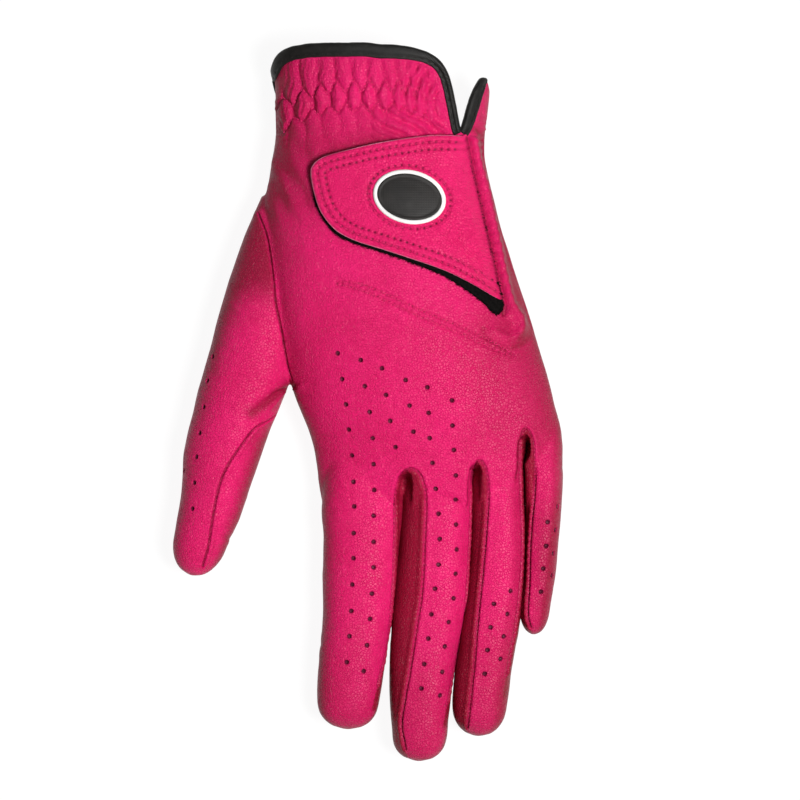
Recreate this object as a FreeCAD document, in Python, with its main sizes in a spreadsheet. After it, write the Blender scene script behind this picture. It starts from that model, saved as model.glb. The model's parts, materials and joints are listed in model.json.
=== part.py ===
import FreeCAD, Part
import math
import os
import Sketcher

# A left-hand golf glove lying palm down, as if filled by a hand.
# +X is the little-finger side, +Y the cuff, +Z the back of the hand.
# The palm rests on the plane z = 0.  All lengths in millimetres, angles in degrees.

V = FreeCAD.Vector
doc = FreeCAD.newDocument("golf_glove")
sheet = doc.addObject("Spreadsheet::Sheet", "Dimensions")
row_count = 0


def dim(alias, value):
    """Write one driving dimension into the sheet and give it its alias."""
    global row_count
    row_count += 1
    sheet.set("A%d" % row_count, alias)
    sheet.set("B%d" % row_count, "%g" % value)
    sheet.setAlias("B%d" % row_count, alias)
    return value


def ref(alias):
    return "Dimensions." + alias


# ---------------------------------------------------------------- driving dimensions
LEATHER = dim("leather", 0.8)
FLOOR = dim("palm_plane", 0.0)
SPLIT = dim("panel_split", 7.5)
dim("hinge_gap", 0.25)
dim("reach", 90.0)

# Layers that lie on or under the back of the hand, measured from the outer skin.
LAYERS = {
    "skin": 0.0,
    "inner": -0.8,
    "thread_low": 0.03,
    "thread_top": 0.45,
    "loop_low": 0.04,
    "loop_top": 1.0,
    "hook_low": 1.45,
    "hook_top": 2.25,
    "tab_low": 2.27,
    "tab_top": 3.25,
    "badge_low": 3.27,
    "badge_top": 4.1,
    "stitch_top": 3.6,
    "elastic_top": -0.83,
    "elastic_low": -1.6,
    "bind_top": 0.65,
    "bind_low": -1.45,
}
for layer_name, layer_value in LAYERS.items():
    dim("layer_" + layer_name, layer_value)

# Hand cross-sections from above the cuff to the finger roots:
# station along Y, centre X, half width, half height.
HAND = [
    (118, 3.6, 34.6, 14.6),
    (98, 3.7, 34.0, 14.0),
    (78, 3.0, 33.0, 13.5),
    (60, 3.5, 36.0, 14.0),
    (42, 6.2, 38.5, 15.0),
    (22, 10.9, 40.4, 15.2),
    (2, 17.0, 39.9, 14.4),
    (-16, 21.8, 38.5, 12.6),
    (-34, 22.6, 37.9, 10.6),
]
SINK = dim("hand_sink", 2.0)
for i, (hy, hx, hw, hh) in enumerate(HAND):
    dim("hand_station_%d" % i, hy)
    dim("hand_centre_%d" % i, hx)
    dim("hand_half_width_%d" % i, hw)
    dim("hand_half_height_%d" % i, hh)

# Fingers and thumb.  Each has its own frame at the root hinge: local Z runs to the
# tip, local X to the little-finger side, local Y up.  Sections: distance along,
# sideways offset, half width, half height.
FINGERS = {
    "index": {
        "x": -2.35, "y": -33.5, "z": 10.0, "slant": 4.0, "mid": 24.0, "length": 68.2,
        "lead": -24.0, "tall": False,
        "sections": [(-30, 0, 12.2, 9.6), (0, 0, 12.4, 9.6), (21.5, 0.6, 11.3, 9.0),
                     (38.6, 0.45, 10.25, 8.6), (51.6, 0.1, 9.85, 8.2), (59.6, 0, 9.35, 7.8)],
    },
    "middle": {
        "x": 21.35, "y": -32.0, "z": 10.0, "slant": 4.0, "mid": 27.0, "length": 79.2,
        "lead": -24.0, "tall": False,
        "sections": [(-30, -0.3, 10.4, 9.6), (0, 0, 10.3, 9.6), (13, 0.2, 10.5, 9.6),
                     (27, 0.2, 10.8, 9.3), (37, -0.5, 10.35, 9.0), (55, -1.35, 9.5, 8.6),
                     (65, -1.1, 8.8, 8.2), (71, -0.6, 8.3, 7.9)],
    },
    "ring": {
        "x": 40.25, "y": -28.0, "z": 10.0, "slant": 4.0, "mid": 27.0, "length": 75.4,
        "lead": -24.0, "tall": True,
        "sections": [(-30, 0.2, 7.9, 9.6), (0, 0, 7.7, 9.6), (12, 1.0, 7.8, 9.5),
                     (25.5, 1.3, 8.0, 9.3), (42, 0.45, 8.2, 9.1), (58.6, -0.9, 8.5, 8.8),
                     (66, -1.1, 8.0, 8.3)],
    },
    "little": {
        "x": 54.65, "y": -21.5, "z": 9.6, "slant": 4.0, "mid": 20.0, "length": 50.5,
        "lead": -22.0, "tall": True,
        "sections": [(-26, -7.0, 4.6, 6.4), (-11, -1.4, 5.6, 8.2), (0, 0, 5.7, 8.8), (16.5, 1.0, 5.15, 8.4),
                     (32, 1.1, 4.75, 7.8), (41.6, 0.3, 4.4, 7.2)],
    },
    "thumb": {
        "x": -42.5, "y": -6.0, "z": 10.8, "slant": 15.6, "mid": 19.5, "length": 48.6,
        "lead": -8.0, "tall": False,
        "sections": [(-70, -6.3, 4.0, 3.2), (-55, -3.4, 8.5, 7.6), (-38, -1.0, 11.6, 10.0),
                     (-21, 0.9, 13.2, 10.8), (-8, 0.2, 13.0, 10.8), (0, 0, 12.3, 10.6),
                     (12.5, -0.2, 11.8, 10.0), (21, 0.4, 10.5, 9.3), (28.5, 0.7, 9.5, 8.6),
                     (36, 0.5, 8.6, 7.6)],
    },
}
# Share of the last section's radius at fractions of the domed end.
DOME = [(0.45, 0.90), (0.75, 0.68), (0.93, 0.38)]
BEND_DOWN = dim("finger_notch", 41.0)
BEND_UP = dim("finger_lift", 7.5)
MID_DOWN = dim("middle_notch", 43.0)
MID_UP = dim("middle_lift", 0.5)
AXIS_DROP = dim("axis_drop", 3.0)
ROLL = dim("finger_roll", -24.0)
STRIP = dim("strip_height", 6.0)

for finger, data in FINGERS.items():
    for key in ("x", "y", "z", "slant", "mid", "length"):
        dim(finger + "_" + {"x": "root_across", "y": "root_along", "z": "root_up",
                            "slant": "slant", "mid": "second_hinge",
                            "length": "reach_out"}[key], data[key])
    last = data["sections"][-1]
    rest = data["length"] - last[0]
    for part_of, share in DOME:
        data["sections"].append((last[0] + rest * part_of, last[1],
                                 last[2] * share, last[3] * share))
    for i, (sa, su, sw, sh) in enumerate(data["sections"]):
        dim("%s_along_%d" % (finger, i), sa)
        dim("%s_aside_%d" % (finger, i), su)
        dim("%s_half_width_%d" % (finger, i), sw)
        dim("%s_half_height_%d" % (finger, i), sh)
doc.recompute()


# ---------------------------------------------------------------- small helpers
def box(name, length, width, height, place):
    """A box whose placement is an expression."""
    item = doc.addObject("Part::Box", name)
    item.Length = length
    item.Width = width
    item.Height = height
    item.setExpression("Placement", place)
    return item


def cut(name, base, tool):
    item = doc.addObject("Part::Cut", name)
    item.Base = base
    item.Tool = tool
    return item


def fuse(name, shapes):
    item = doc.addObject("Part::MultiFuse", name)
    item.Shapes = shapes
    return item


def common(name, first, second):
    item = doc.addObject("Part::Common", name)
    item.Base = first
    item.Tool = second
    return item


def sketch(name, points):
    """A closed outline in plan, held by coincident corners."""
    item = doc.addObject("Sketcher::SketchObject", name)
    count = len(points)
    lines = []
    for i in range(count):
        a = points[i]
        b = points[(i + 1) % count]
        lines.append(Part.LineSegment(V(a[0], a[1], 0), V(b[0], b[1], 0)))
    item.addGeometry(lines, False)
    links = []
    for i in range(count):
        links.append(Sketcher.Constraint("Coincident", i, 2, (i + 1) % count, 1))
    item.addConstraint(links)
    return item


def prism(name, points, low=-20.0, high=60.0):
    """An upright prism over a plan outline."""
    base = sketch(name + "_outline", points)
    base.Placement.Base = V(0, 0, low)
    item = doc.addObject("Part::Extrusion", name)
    item.Base = base
    item.DirMode = "Custom"
    item.Dir = V(0, 0, 1)
    item.LengthFwd = high - low
    item.Solid = True
    return item


AROUND = 28


def value(alias):
    """A dimension read back from the sheet."""
    return float(sheet.get(alias))


def smooth_form(name, rings):
    """A closed solid: one smooth skin through rings of points, with two flat ends."""
    across = len(rings[0])
    along = len(rings)
    poles = [[rings[v][u] for v in range(along)] for u in range(across)]
    skin = Part.BSplineSurface()
    skin.buildFromPolesMultsKnots(
        poles, [1] * (across + 1), [4] + [1] * (along - 4) + [4],
        [float(k) for k in range(across + 1)], [float(k) for k in range(along - 2)],
        True, False, 3, 3)
    face = skin.toShape()
    faces = [face]
    for end in (skin.vIso(0.0), skin.vIso(float(along - 3))):
        faces.append(Part.Face(Part.Wire([end.toShape()])))
    joined = Part.Shell(faces)
    joined.sewShape(1e-4)
    solid = Part.Solid(joined)
    if solid.Volume < 0:
        solid.reverse()
    item = doc.addObject("Part::Feature", name)
    item.Shape = solid
    return item


def ellipse_points(half_width, half_height):
    """Control points of a smooth closed curve that lies on an ellipse."""
    full = 3.0 / (2.0 + math.cos(2 * math.pi / AROUND))
    points = []
    for k in range(AROUND):
        turn = 2 * math.pi * k / AROUND
        points.append((half_width * full * math.cos(turn), half_height * full * math.sin(turn)))
    return points


hand_lofts = {}


def hand_loft(layer):
    """The hand's solid form grown by one layer's offset."""
    if layer in hand_lofts:
        return hand_lofts[layer]
    grow = value("layer_" + layer)
    rings = []
    for i in range(len(HAND)):
        high = value("hand_half_height_%d" % i)
        centre = value("hand_centre_%d" % i)
        station = value("hand_station_%d" % i)
        ring = []
        for x, z in ellipse_points(value("hand_half_width_%d" % i) + grow, high + grow):
            ring.append(V(centre + x, station, high - value("hand_sink") + z))
        rings.append(ring)
    hand_lofts[layer] = smooth_form("hand_%s_form" % layer, rings)
    return hand_lofts[layer]


def shell_layer(name, low, top, region):
    """The piece of one layer over a plan region."""
    ring = cut(name + "_layer", hand_loft(top), hand_loft(low))
    return common(name, ring, region)


def finger_loft(finger, inside):
    """A finger's solid form in its own frame, or the space inside its leather."""
    data = FINGERS[finger]
    less = value("leather") if inside else 0.0
    rings = []
    count = len(data["sections"])
    for i in range(count):
        along = value("%s_along_%d" % (finger, i))
        if inside and i >= count - len(DOME):
            along -= less * (1.0 if i == count - 1 else 0.6)
        wide = value("%s_half_width_%d" % (finger, i)) - less
        high = value("%s_half_height_%d" % (finger, i)) - less
        aside = value("%s_aside_%d" % (finger, i))
        rings.append([V(aside + x, y, along) for x, y in ellipse_points(wide, high)])
    return smooth_form("%s_%s" % (finger, "space" if inside else "form"), rings)


def finger_place(finger):
    return "placement(vector(%s; %s; %s); rotation(-%s; 0; 90))" % (
        ref(finger + "_root_across"), ref(finger + "_root_along"),
        ref(finger + "_root_up"), ref(finger + "_slant"))


def hinge_cutters(tag, at, down, up, beyond):
    """Two slabs that cut a tube back to a hinge and leave room for it to bend.

    beyond True removes what lies past the hinge, False what lies before it.
    """
    slabs = []
    side = "-1" if beyond else "1"
    for word, angle, sign in (("low", down, 1), ("high", up, -1)):
        turn = "%s%s" % ("" if (sign > 0) == beyond else "-", angle)
        lift = "0" if beyond else "-" + ref("reach")
        place = ("placement(vector(0; -%s; %s + %s * %s); rotation(0; 0; %s))"
                 " * placement(vector(-0.5 * %s; -0.5 * %s; %s); rotation(0; 0; 0))") % (
            ref("axis_drop"), at, side, ref("hinge_gap"), turn,
            ref("reach"), ref("reach"), lift)
        slab = doc.addObject("Part::Box", "%s_%s_slab" % (tag, word))
        slab.setExpression("Length", ref("reach"))
        slab.setExpression("Width", ref("reach"))
        slab.setExpression("Height", ref("reach"))
        slab.setExpression("Placement", place)
        slabs.append(slab)
    return slabs


# ---------------------------------------------------------------- fingers
# Each finger is a leather tube in two lengths.  Each length is made of strips:
# the back, the palm and one or two side walls, joined edge to edge.
finished = {}


def finish(name, item):
    item.Label = name
    finished[name] = item
    return item


outside = {}
inside = {}
for finger in FINGERS:
    outside[finger] = finger_loft(finger, False)
    inside[finger] = finger_loft(finger, True)


def strips(finger, tube):
    """Cut a whole finger tube lengthwise into its leather pieces."""
    roll = "0" if finger in ("index", "thumb") else ref("finger_roll")
    half = "-0.5 * " + ref("reach")
    place = ("placement(vector(0; 0; -40); rotation(%s; 0; 0))"
             " * placement(vector(%s; %s; 0); rotation(0; 0; 0))")
    upper = box(finger + "_upper", 90, 90, 140, place % (roll, half, ref("strip_height")))
    lower = box(finger + "_lower", 90, 90, 140,
                place % (roll, half, "-" + ref("strip_height") + " - " + ref("reach")))
    right = box(finger + "_right", 90, 90, 140, place % (roll, "0", half))
    pieces = {}
    if finger == "thumb":
        pieces["inner"] = common("thumb_inner_strip", tube, right)
        pieces["outer"] = cut("thumb_outer_strip", tube, right)
        return pieces
    side = cut(finger + "_no_back", tube, upper)
    walls = cut(finger + "_walls", side, lower)
    right_wall = common(finger + "_right_wall", walls, right)
    if finger == "index":
        pieces["ulnar_gusset"] = right_wall
        pieces["wrap"] = cut("index_wrap_strip", tube, right_wall)
        return pieces
    left_wall = cut(finger + "_left_wall", walls, right)
    pieces["back"] = common(finger + "_back_strip", tube, upper)
    pieces["radial_gusset"] = left_wall
    if finger == "little":
        pieces["palm"] = cut("little_palm_strip", side, left_wall)
    else:
        pieces["palm"] = common(finger + "_palm_strip", tube, lower)
        pieces["ulnar_gusset"] = right_wall
    return pieces


for finger in FINGERS:
    mid = ref(finger + "_second_hinge")
    tube = cut(finger + "_tube", outside[finger], inside[finger])
    base_tools = fuse(finger + "_base_tools", hinge_cutters(
        finger + "_base_start", "0", ref("finger_notch"), ref("finger_lift"), False)
        + hinge_cutters(finger + "_base_end", mid, ref("middle_notch"), ref("middle_lift"), True))
    tip_tools = fuse(finger + "_tip_tools", hinge_cutters(
        finger + "_tip_start", mid, ref("middle_notch"), ref("middle_lift"), False))
    for word, strip in strips(finger, tube).items():
        for length, tools in (("base", base_tools), ("tip", tip_tools)):
            piece = cut("%s_%s_%s_cut" % (finger, length, word), strip, tools)
            piece.setExpression("Placement", finger_place(finger))
            finish("%s_%s_%s" % (finger, length, word), piece)

# ---------------------------------------------------------------- hand shell
# Plan outline of the hand: the cuff's curved upper edge, the vent between the two
# lobes, and the crotches between the fingers.
CUFF_EDGE = [(-30.6, 97.0), (-30.0, 101.5), (-27.5, 107.5), (-22.0, 109.6), (-12.0, 110.6),
             (2.0, 110.4), (12.0, 109.2), (18.5, 107.2), (22.6, 103.6), (25.0, 98.0),
             (26.4, 91.0), (28.0, 82.6)]
LOBE_EDGE = [(28.7, 82.2), (30.2, 90.0), (32.4, 96.5), (35.4, 100.4), (37.4, 96.6),
             (40.0, 92.0)]
cuff_plan = prism("cuff_plan", [(-80, 97.0)] + CUFF_EDGE + LOBE_EDGE + [
    (80, 90), (80, -80), (-80, -80)])
outer_plan = prism("hand_plan", [(-80, 112.0), (80, 112.0), (80, -12.2), (49.2, -12.2), (49.2, -19.0),
                                 (32.2, -20.6), (32.2, -24.2), (-30, -24.3), (-80, -24.3)])
inner_plan = prism("hand_inner_plan", [(-80, 140), (80, 140), (80, -11.4), (48.4, -11.4),
                                       (48.4, -18.2), (31.4, -19.8), (31.4, -23.4),
                                       (-30, -23.5), (-80, -23.5)])
above_floor = box("above_floor", 240, 320, 80, "placement(vector(-120; -160; %s); rotation(0; 0; 0))"
                  % ref("palm_plane"))
above_palm = box("above_palm", 240, 320, 80,
                 "placement(vector(-120; -160; %s + %s); rotation(0; 0; 0))"
                 % (ref("palm_plane"), ref("leather")))

stub_forms = []
stub_spaces = []
for finger in FINGERS:
    keep = hinge_cutters(finger + "_stub_end", "0", ref("finger_notch"),
                         ref("finger_lift"), True)
    form = cut(finger + "_stub_form", outside[finger], fuse(finger + "_stub_tools", keep))
    form.setExpression("Placement", finger_place(finger))
    stub_forms.append(form)
    # The space runs on past the hinge plane, so that the stub's end stays open.
    hollow = doc.addObject("Part::Compound", finger + "_hollow")
    hollow.Links = [inside[finger]]
    hollow.setExpression("Placement", finger_place(finger))
    stub_spaces.append(hollow)

hand_form = common("hand_form", hand_loft("skin"), outer_plan)
hand_space = common("hand_space", hand_loft("inner"), inner_plan)
whole_form = hand_form
for finger, form in zip(FINGERS, stub_forms):
    joined = doc.addObject("Part::Fuse", "form_with_" + finger)
    joined.Base = whole_form
    joined.Tool = form
    whole_form = joined
resting_form = common("resting_form", whole_form, above_floor)
shell = cut("shell_less_hand", resting_form, common("hand_space_above", hand_space, above_palm))
for finger, hollow in zip(FINGERS, stub_spaces):
    raised = common(finger + "_hollow_above", hollow, above_palm)
    shell = cut("shell_less_" + finger, shell, raised)

# The thumb is set into the hand along a seam from the wrist to the thumb crotch.
THUMB_SEAM = [(-36.0, 62.0), (-33.4, 56.0), (-31.5, 50.0), (-29.4, 39.2), (-26.6, 21.5),
              (-24.7, 10.4), (-22.8, 4.0), (-22.8, -18.0), (-75.0, -18.0), (-75.0, 62.0)]
thumb_region = prism("thumb_region", THUMB_SEAM)
thumb_root = common("thumb_root", shell, thumb_region)
hand_rest = cut("hand_rest", shell, thumb_region)
thumb_split = box("thumb_split", 90, 90, 160,
                  finger_place("thumb") + " * placement(vector(0; -45; -120); rotation(0; 0; 0))")
finish("thumb_root_inner", common("thumb_root_inner_cut", thumb_root, thumb_split))
finish("thumb_root_outer", cut("thumb_root_outer_cut", thumb_root, thumb_split))

# Forked side walls at the three finger crotches.
CROTCHES = {
    "index_middle": (8.2, 17.4, -19.9, -45.0),
    "middle_ring": (31.0, 37.0, -17.6, -45.0),
    "ring_little": (46.3, 51.8, -8.0, -35.0),
}
rest = hand_rest
for crotch, (xa, xb, top, low) in CROTCHES.items():
    dim("arch_%s_top" % crotch, top)
    r = (xb - xa) / 2
    cx = (xa + xb) / 2
    plan = [(xa, low), (xb, low), (xb, top - r)]
    for k in range(1, 8):
        turn = math.pi * k / 8
        plan.append((cx + r * math.cos(turn), top - r + r * math.sin(turn)))
    plan.append((xa, top - r))
    fork = prism(crotch + "_fork_plan", plan)
    finish("crotch_gusset_" + crotch, common(crotch + "_fork_cut", rest, fork))
    rest = cut(crotch + "_rest", rest, fork)

# Back and palm panels meet along the edge of the hand.
palm_zone = box("palm_zone", 240, 320, 60,
                "placement(vector(-120; -160; %s - 60); rotation(0; 0; 0))" % ref("panel_split"))
PALM_EDGE = [(-80, 94), (-31, 94), (20, 85), (38, 79), (80, 79)]
palm_trim = prism("palm_trim", PALM_EDGE + [(80, -60), (-80, -60)])
palm_piece = common("palm_piece", rest, palm_zone)
finish("palm_panel", common("palm_trimmed", palm_piece, palm_trim))
# A slit runs on from the vent under the closure tab, so that the glove can open.
slit = prism("slit", [(27.9, 84.0), (29.0, 84.0), (33.6, 61.0), (40.6, 32.4), (40.2, 30.6),
                      (39.4, 32.0), (32.0, 61.0)], 7.0, 60.0)
back_piece = common("back_piece", cut("upper_rest", rest, palm_zone), cuff_plan)
finish("back_panel", cut("back_slit_cut", back_piece, slit))


# ---------------------------------------------------------------- trims on the hand
def band(points, width, extra=0.0):
    """The outline of a strip of the given width along an open line."""
    left = []
    right = []
    for i in range(len(points)):
        a = points[max(i - 1, 0)]
        b = points[min(i + 1, len(points) - 1)]
        dx = b[0] - a[0]
        dy = b[1] - a[1]
        size = math.hypot(dx, dy)
        nx = -dy / size
        ny = dx / size
        x, y = points[i]
        left.append((x + nx * (width / 2 + extra), y + ny * (width / 2 + extra)))
        right.append((x - nx * width / 2, y - ny * width / 2))
    return left + right[::-1]


def zigzag(points, pitch, swing, width):
    """The outline of a zigzag thread along an open line."""
    fine = []
    total = 0.0
    for i in range(len(points) - 1):
        total += math.dist(points[i], points[i + 1])
    count = int(total / (pitch / 2))
    run = 0.0
    for k in range(count + 1):
        want = total * k / count
        run = 0.0
        for i in range(len(points) - 1):
            part = math.dist(points[i], points[i + 1])
            if run + part >= want - 1e-6 or i == len(points) - 2:
                f = (want - run) / part
                x = points[i][0] + (points[i + 1][0] - points[i][0]) * f
                y = points[i][1] + (points[i + 1][1] - points[i][1]) * f
                dx = (points[i + 1][0] - points[i][0]) / part
                dy = (points[i + 1][1] - points[i][1]) / part
                side = swing / 2 if k % 2 else -swing / 2
                fine.append((x - dy * side, y + dx * side))
                break
            run += part
    return band(fine, width)


# Black binding, folded over the cuff's edge: 4.2 mm shows on the outside.
BIND = dim("binding_width", 4.2)
cuff_line = [(x, y) for x, y in CUFF_EDGE]
cuff_strip = prism("cuff_strip", band(cuff_line, 2 * BIND - 1.6))
cuff_strip_outer = common("cuff_strip_grown", cuff_strip,
                          prism("cuff_grown", [(-80, 93.0), (-32, 93.0)] + [
                              (x * 1.02 - (0.5 if x < 0 else -0.5), y + 0.75) for x, y in CUFF_EDGE[1:9]] + [
                                  (25.7, 98.0), (27.1, 91.0), (28.2, 84.6), (28.2, 70.0), (-80, 70.0)]))
back_half = cut("binding_zone", cuff_strip_outer, palm_zone)
cuff_layer = cut("cuff_layer", hand_loft("bind_top"), hand_loft("bind_low"))
cuff_fold = common("cuff_fold", cuff_layer, back_half)
finish("cuff_binding", cut("cuff_binding_cut", cuff_fold, finished["back_panel"]))

lobe_strip = prism("lobe_strip", [(28.9, 84.6), (30.6, 92.0), (32.4, 96.9), (35.6, 101.2),
                                  (37.9, 97.4), (36.6, 95.6), (35.2, 97.0), (34.0, 94.0),
                                  (32.9, 89.0), (31.0, 84.0)])
lobe_fold = common("lobe_fold", cuff_layer, cut("lobe_zone", lobe_strip, palm_zone))
finish("vent_binding", cut("vent_binding_cut", lobe_fold, finished["back_panel"]))

hem_top = [(x, y + 0.9) for x, y in PALM_EDGE]
hem_foot = [(x, y - 3.4) for x, y in reversed(PALM_EDGE)]
palm_hem = prism("palm_hem", hem_top + hem_foot, -20, 7.45)
above_hem = box("above_hem", 240, 320, 80, "placement(vector(-120; -160; %s - %s); rotation(0; 0; 0))"
                % (ref("palm_plane"), ref("layer_bind_low")))
hem_form = common("hem_form", common("hem_layer", hand_loft("bind_top"), palm_hem), above_floor)
hem_space = common("hem_space", hand_loft("bind_low"), above_hem)
hem_fold = cut("hem_fold", hem_form, hem_space)
finish("palm_binding", cut("palm_binding_cut", hem_fold, finished["palm_panel"]))

# Elastic bands sewn under the back: one across the wrist, one across the knuckles.
KNUCKLE_LINE = [(-10.2, 37.7), (4.1, 33.3), (15.9, 27.1), (27.7, 22.2), (37.3, 17.8), (42.9, 14.1)]
finish("wrist_elastic", shell_layer("wrist_elastic_cut", "elastic_low", "elastic_top", prism(
    "wrist_elastic_plan", [(-24.0, 100.0), (-10.0, 101.5), (10.0, 101.5), (14.0, 100.0),
                           (14.0, 87.0), (-10.0, 86.6), (-24.0, 85.4)], 12, 60)))
finish("knuckle_elastic", shell_layer("knuckle_elastic_cut", "elastic_low", "elastic_top", prism(
    "knuckle_elastic_plan", band(KNUCKLE_LINE, 7.0), 12, 60)))

# Stitch rows that gather the leather over the elastics.
UPPER_ROW = [(-25.6, 94.4), (-18.0, 97.4), (-10.8, 99.0), (0.0, 99.4), (9.3, 99.0)]
LOWER_ROW = [(-25.0, 83.4), (-18.0, 87.4), (-10.0, 88.8), (0.0, 89.0), (9.9, 88.6)]
finish("wrist_stitching_upper", shell_layer("wrist_upper_cut", "thread_low", "thread_top", prism(
    "wrist_upper_plan", zigzag(UPPER_ROW, 3.0, 1.6, 0.5), 12, 60)))
finish("wrist_stitching_lower", shell_layer("wrist_lower_cut", "thread_low", "thread_top", prism(
    "wrist_lower_plan", zigzag(LOWER_ROW, 3.0, 1.6, 0.5), 12, 60)))
for word, shift in (("upper", 0.9), ("lower", -0.9)):
    line = [(x + shift * 0.42, y + shift * 0.9) for x, y in KNUCKLE_LINE]
    finish("knuckle_stitching_" + word, shell_layer(
        "knuckle_%s_cut" % word, "thread_low", "thread_top",
        prism("knuckle_%s_plan" % word, zigzag(line, 2.4, 1.0, 0.45), 12, 60)))

# Rolled ridge of leather beside the tab's fold, down to the foot of the slit.
RIDGE = [(31.6, 80.8), (33.2, 72.0), (36.3, 61.2), (40.2, 44.8), (44.4, 30.2)]
FOLD_TOP = (30.1, 81.4)
FOLD_FOOT = (41.6, 30.8)
dim("fold_head_across", FOLD_TOP[0])
dim("fold_head_along", FOLD_TOP[1])
dim("fold_foot_across", FOLD_FOOT[0])
dim("fold_foot_along", FOLD_FOOT[1])
ridge_plan = prism("ridge_plan", band([(x + 1.2, y) for x, y in RIDGE], 2.8), 13, 60)
finish("slit_welt", shell_layer("slit_welt_cut", "loop_low", "loop_top", ridge_plan))

# Soft pile patch on the back, that the tab's hook patch presses into.
LOOP = [(-14.0, 70.5), (-9.0, 73.0), (6.0, 76.4), (27.0, 78.6), (31.2, 61.0), (37.6, 34.0),
        (37.0, 28.6), (24.0, 35.4), (5.0, 42.6), (-6.5, 46.6), (-12.2, 51.8), (-14.4, 58.0)]
loop_zone = prism("loop_zone", LOOP, 12, 60)
finish("loop_patch", shell_layer("loop_patch_cut", "loop_low", "loop_top",
                                 cut("loop_region", loop_zone, slit)))

# ---------------------------------------------------------------- closure tab
TAB = [(-17.9, 69.5), (-17.3, 72.6), (-13.6, 75.3), (4.1, 79.5), (18.4, 81.6), (29.4, 81.4),
       (34.1, 60.9), (41.0, 31.0), (38.0, 32.4), (23.0, 40.5), (4.1, 46.7), (-6.4, 50.1),
       (-11.1, 53.2), (-14.8, 58.0), (-16.6, 63.5)]
HOOK = [(-12.0, 68.0), (-8.0, 71.0), (5.0, 74.4), (26.0, 77.2), (30.6, 60.0), (36.6, 36.4),
        (24.0, 43.0), (6.0, 49.4), (-5.0, 52.8), (-10.6, 58.0)]
finish("tab_leather", shell_layer("tab_leather_cut", "tab_low", "tab_top", prism("tab_plan", TAB, 12, 60)))
finish("hook_patch", shell_layer("hook_patch_cut", "hook_low", "hook_top", prism("hook_plan", HOOK, 12, 60)))


def inset(points, amount):
    """The outline moved inward by an amount, for a clockwise outline."""
    moved = []
    count = len(points)
    for i in range(count):
        a = points[i - 1]
        b = points[i]
        c = points[(i + 1) % count]
        ux, uy = b[0] - a[0], b[1] - a[1]
        vx, vy = c[0] - b[0], c[1] - b[1]
        lu = math.hypot(ux, uy)
        lv = math.hypot(vx, vy)
        nx = (uy / lu + vy / lv)
        ny = (-ux / lu - vx / lv)
        size = math.hypot(nx, ny)
        cosine = (ux * vx + uy * vy) / (lu * lv)
        reach = amount / math.sqrt(max((1 + cosine) / 2, 0.2))
        moved.append((b[0] + nx / size * reach, b[1] + ny / size * reach))
    return moved


# Two rows of stitches round the tab's free edge.
for word, depth in (("outer", 2.2), ("inner", 4.4)):
    a = inset(TAB, depth - 0.25)
    b = inset(TAB, depth + 0.25)
    # Left out along the fold: from the foot of the fold round to its head.
    order = [7 + k for k in range(2, 15)]
    outer_line = [a[k % 15] for k in order]
    inner_line = [b[k % 15] for k in order]
    finish("tab_stitching_" + word, shell_layer(
        "tab_stitching_%s_cut" % word, "badge_low", "stitch_top",
        prism("tab_stitching_%s_plan" % word, outer_line[:-1] + inner_line[:-1][::-1], 12, 60)))

# A plain oval badge, black in a white rim, and the stitched ring round it.
BADGE_X = dim("badge_across", 12.6)
BADGE_Y = dim("badge_along", 62.8)
BADGE_TURN = dim("badge_turn", -12.0)


def oval(name, half_long, half_short):
    ring = doc.addObject("Part::Ellipse", name + "_ring")
    ring.MajorRadius = half_long
    ring.MinorRadius = half_short
    ring.setExpression("Placement", "placement(vector(%s; %s; 12); rotation(%s; 0; 0))" % (
        ref("badge_across"), ref("badge_along"), ref("badge_turn")))
    item = doc.addObject("Part::Extrusion", name)
    item.Base = ring
    item.DirMode = "Custom"
    item.Dir = V(0, 0, 1)
    item.LengthFwd = 48
    item.Solid = True
    return item


badge_zone = oval("badge_zone", 10.4, 7.4)
rim_zone = oval("rim_zone", 11.2, 8.2)
sew_low = oval("badge_sew_low", 12.7, 9.7)
sew_high = oval("badge_sew_high", 13.2, 10.2)
finish("badge", shell_layer("badge_cut", "badge_low", "badge_top", badge_zone))
finish("badge_rim", shell_layer("badge_rim_cut", "badge_low", "badge_top",
                                cut("rim_ring", rim_zone, badge_zone)))
finish("badge_stitching", shell_layer("badge_stitching_cut", "badge_low", "stitch_top",
                                      cut("sew_ring", sew_high, sew_low)))

# ---------------------------------------------------------------- check and write
doc.recompute()
faults = []
for item in doc.Objects:
    state = [word for word in item.State if word in ("Invalid", "Error")]
    if state:
        faults.append("%s: %s" % (item.Name, ", ".join(state)))
for name, item in finished.items():
    shape = item.Shape
    if shape.isNull() or not shape.isValid():
        faults.append("%s: the shape is null or not valid" % name)
    elif not shape.Solids:
        faults.append("%s: no solid" % name)
for line in faults:
    print("FAULT", line)
os.makedirs("parts", exist_ok=True)
total = None
for name, item in finished.items():
    shape = item.Shape
    if shape.isNull():
        continue
    if shape.isNull() or not shape.Solids:
        continue
    bounds = shape.BoundBox
    total = bounds if total is None else total.united(bounds)
    print("%-28s solids %d volume %8.1f  x %6.1f..%6.1f  y %6.1f..%6.1f  z %5.1f..%5.1f" % (
        name, len(shape.Solids), shape.Volume, bounds.XMin, bounds.XMax,
        bounds.YMin, bounds.YMax, bounds.ZMin, bounds.ZMax))
    shape.exportStep("parts/%s.step" % name)
print("nodes", len(finished), "bounds", total)
if faults:
    raise SystemExit(1)
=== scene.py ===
import json
import math
import random
import bmesh
import bpy
import numpy as np
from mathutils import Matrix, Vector, noise
from mathutils.bvhtree import BVHTree

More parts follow.
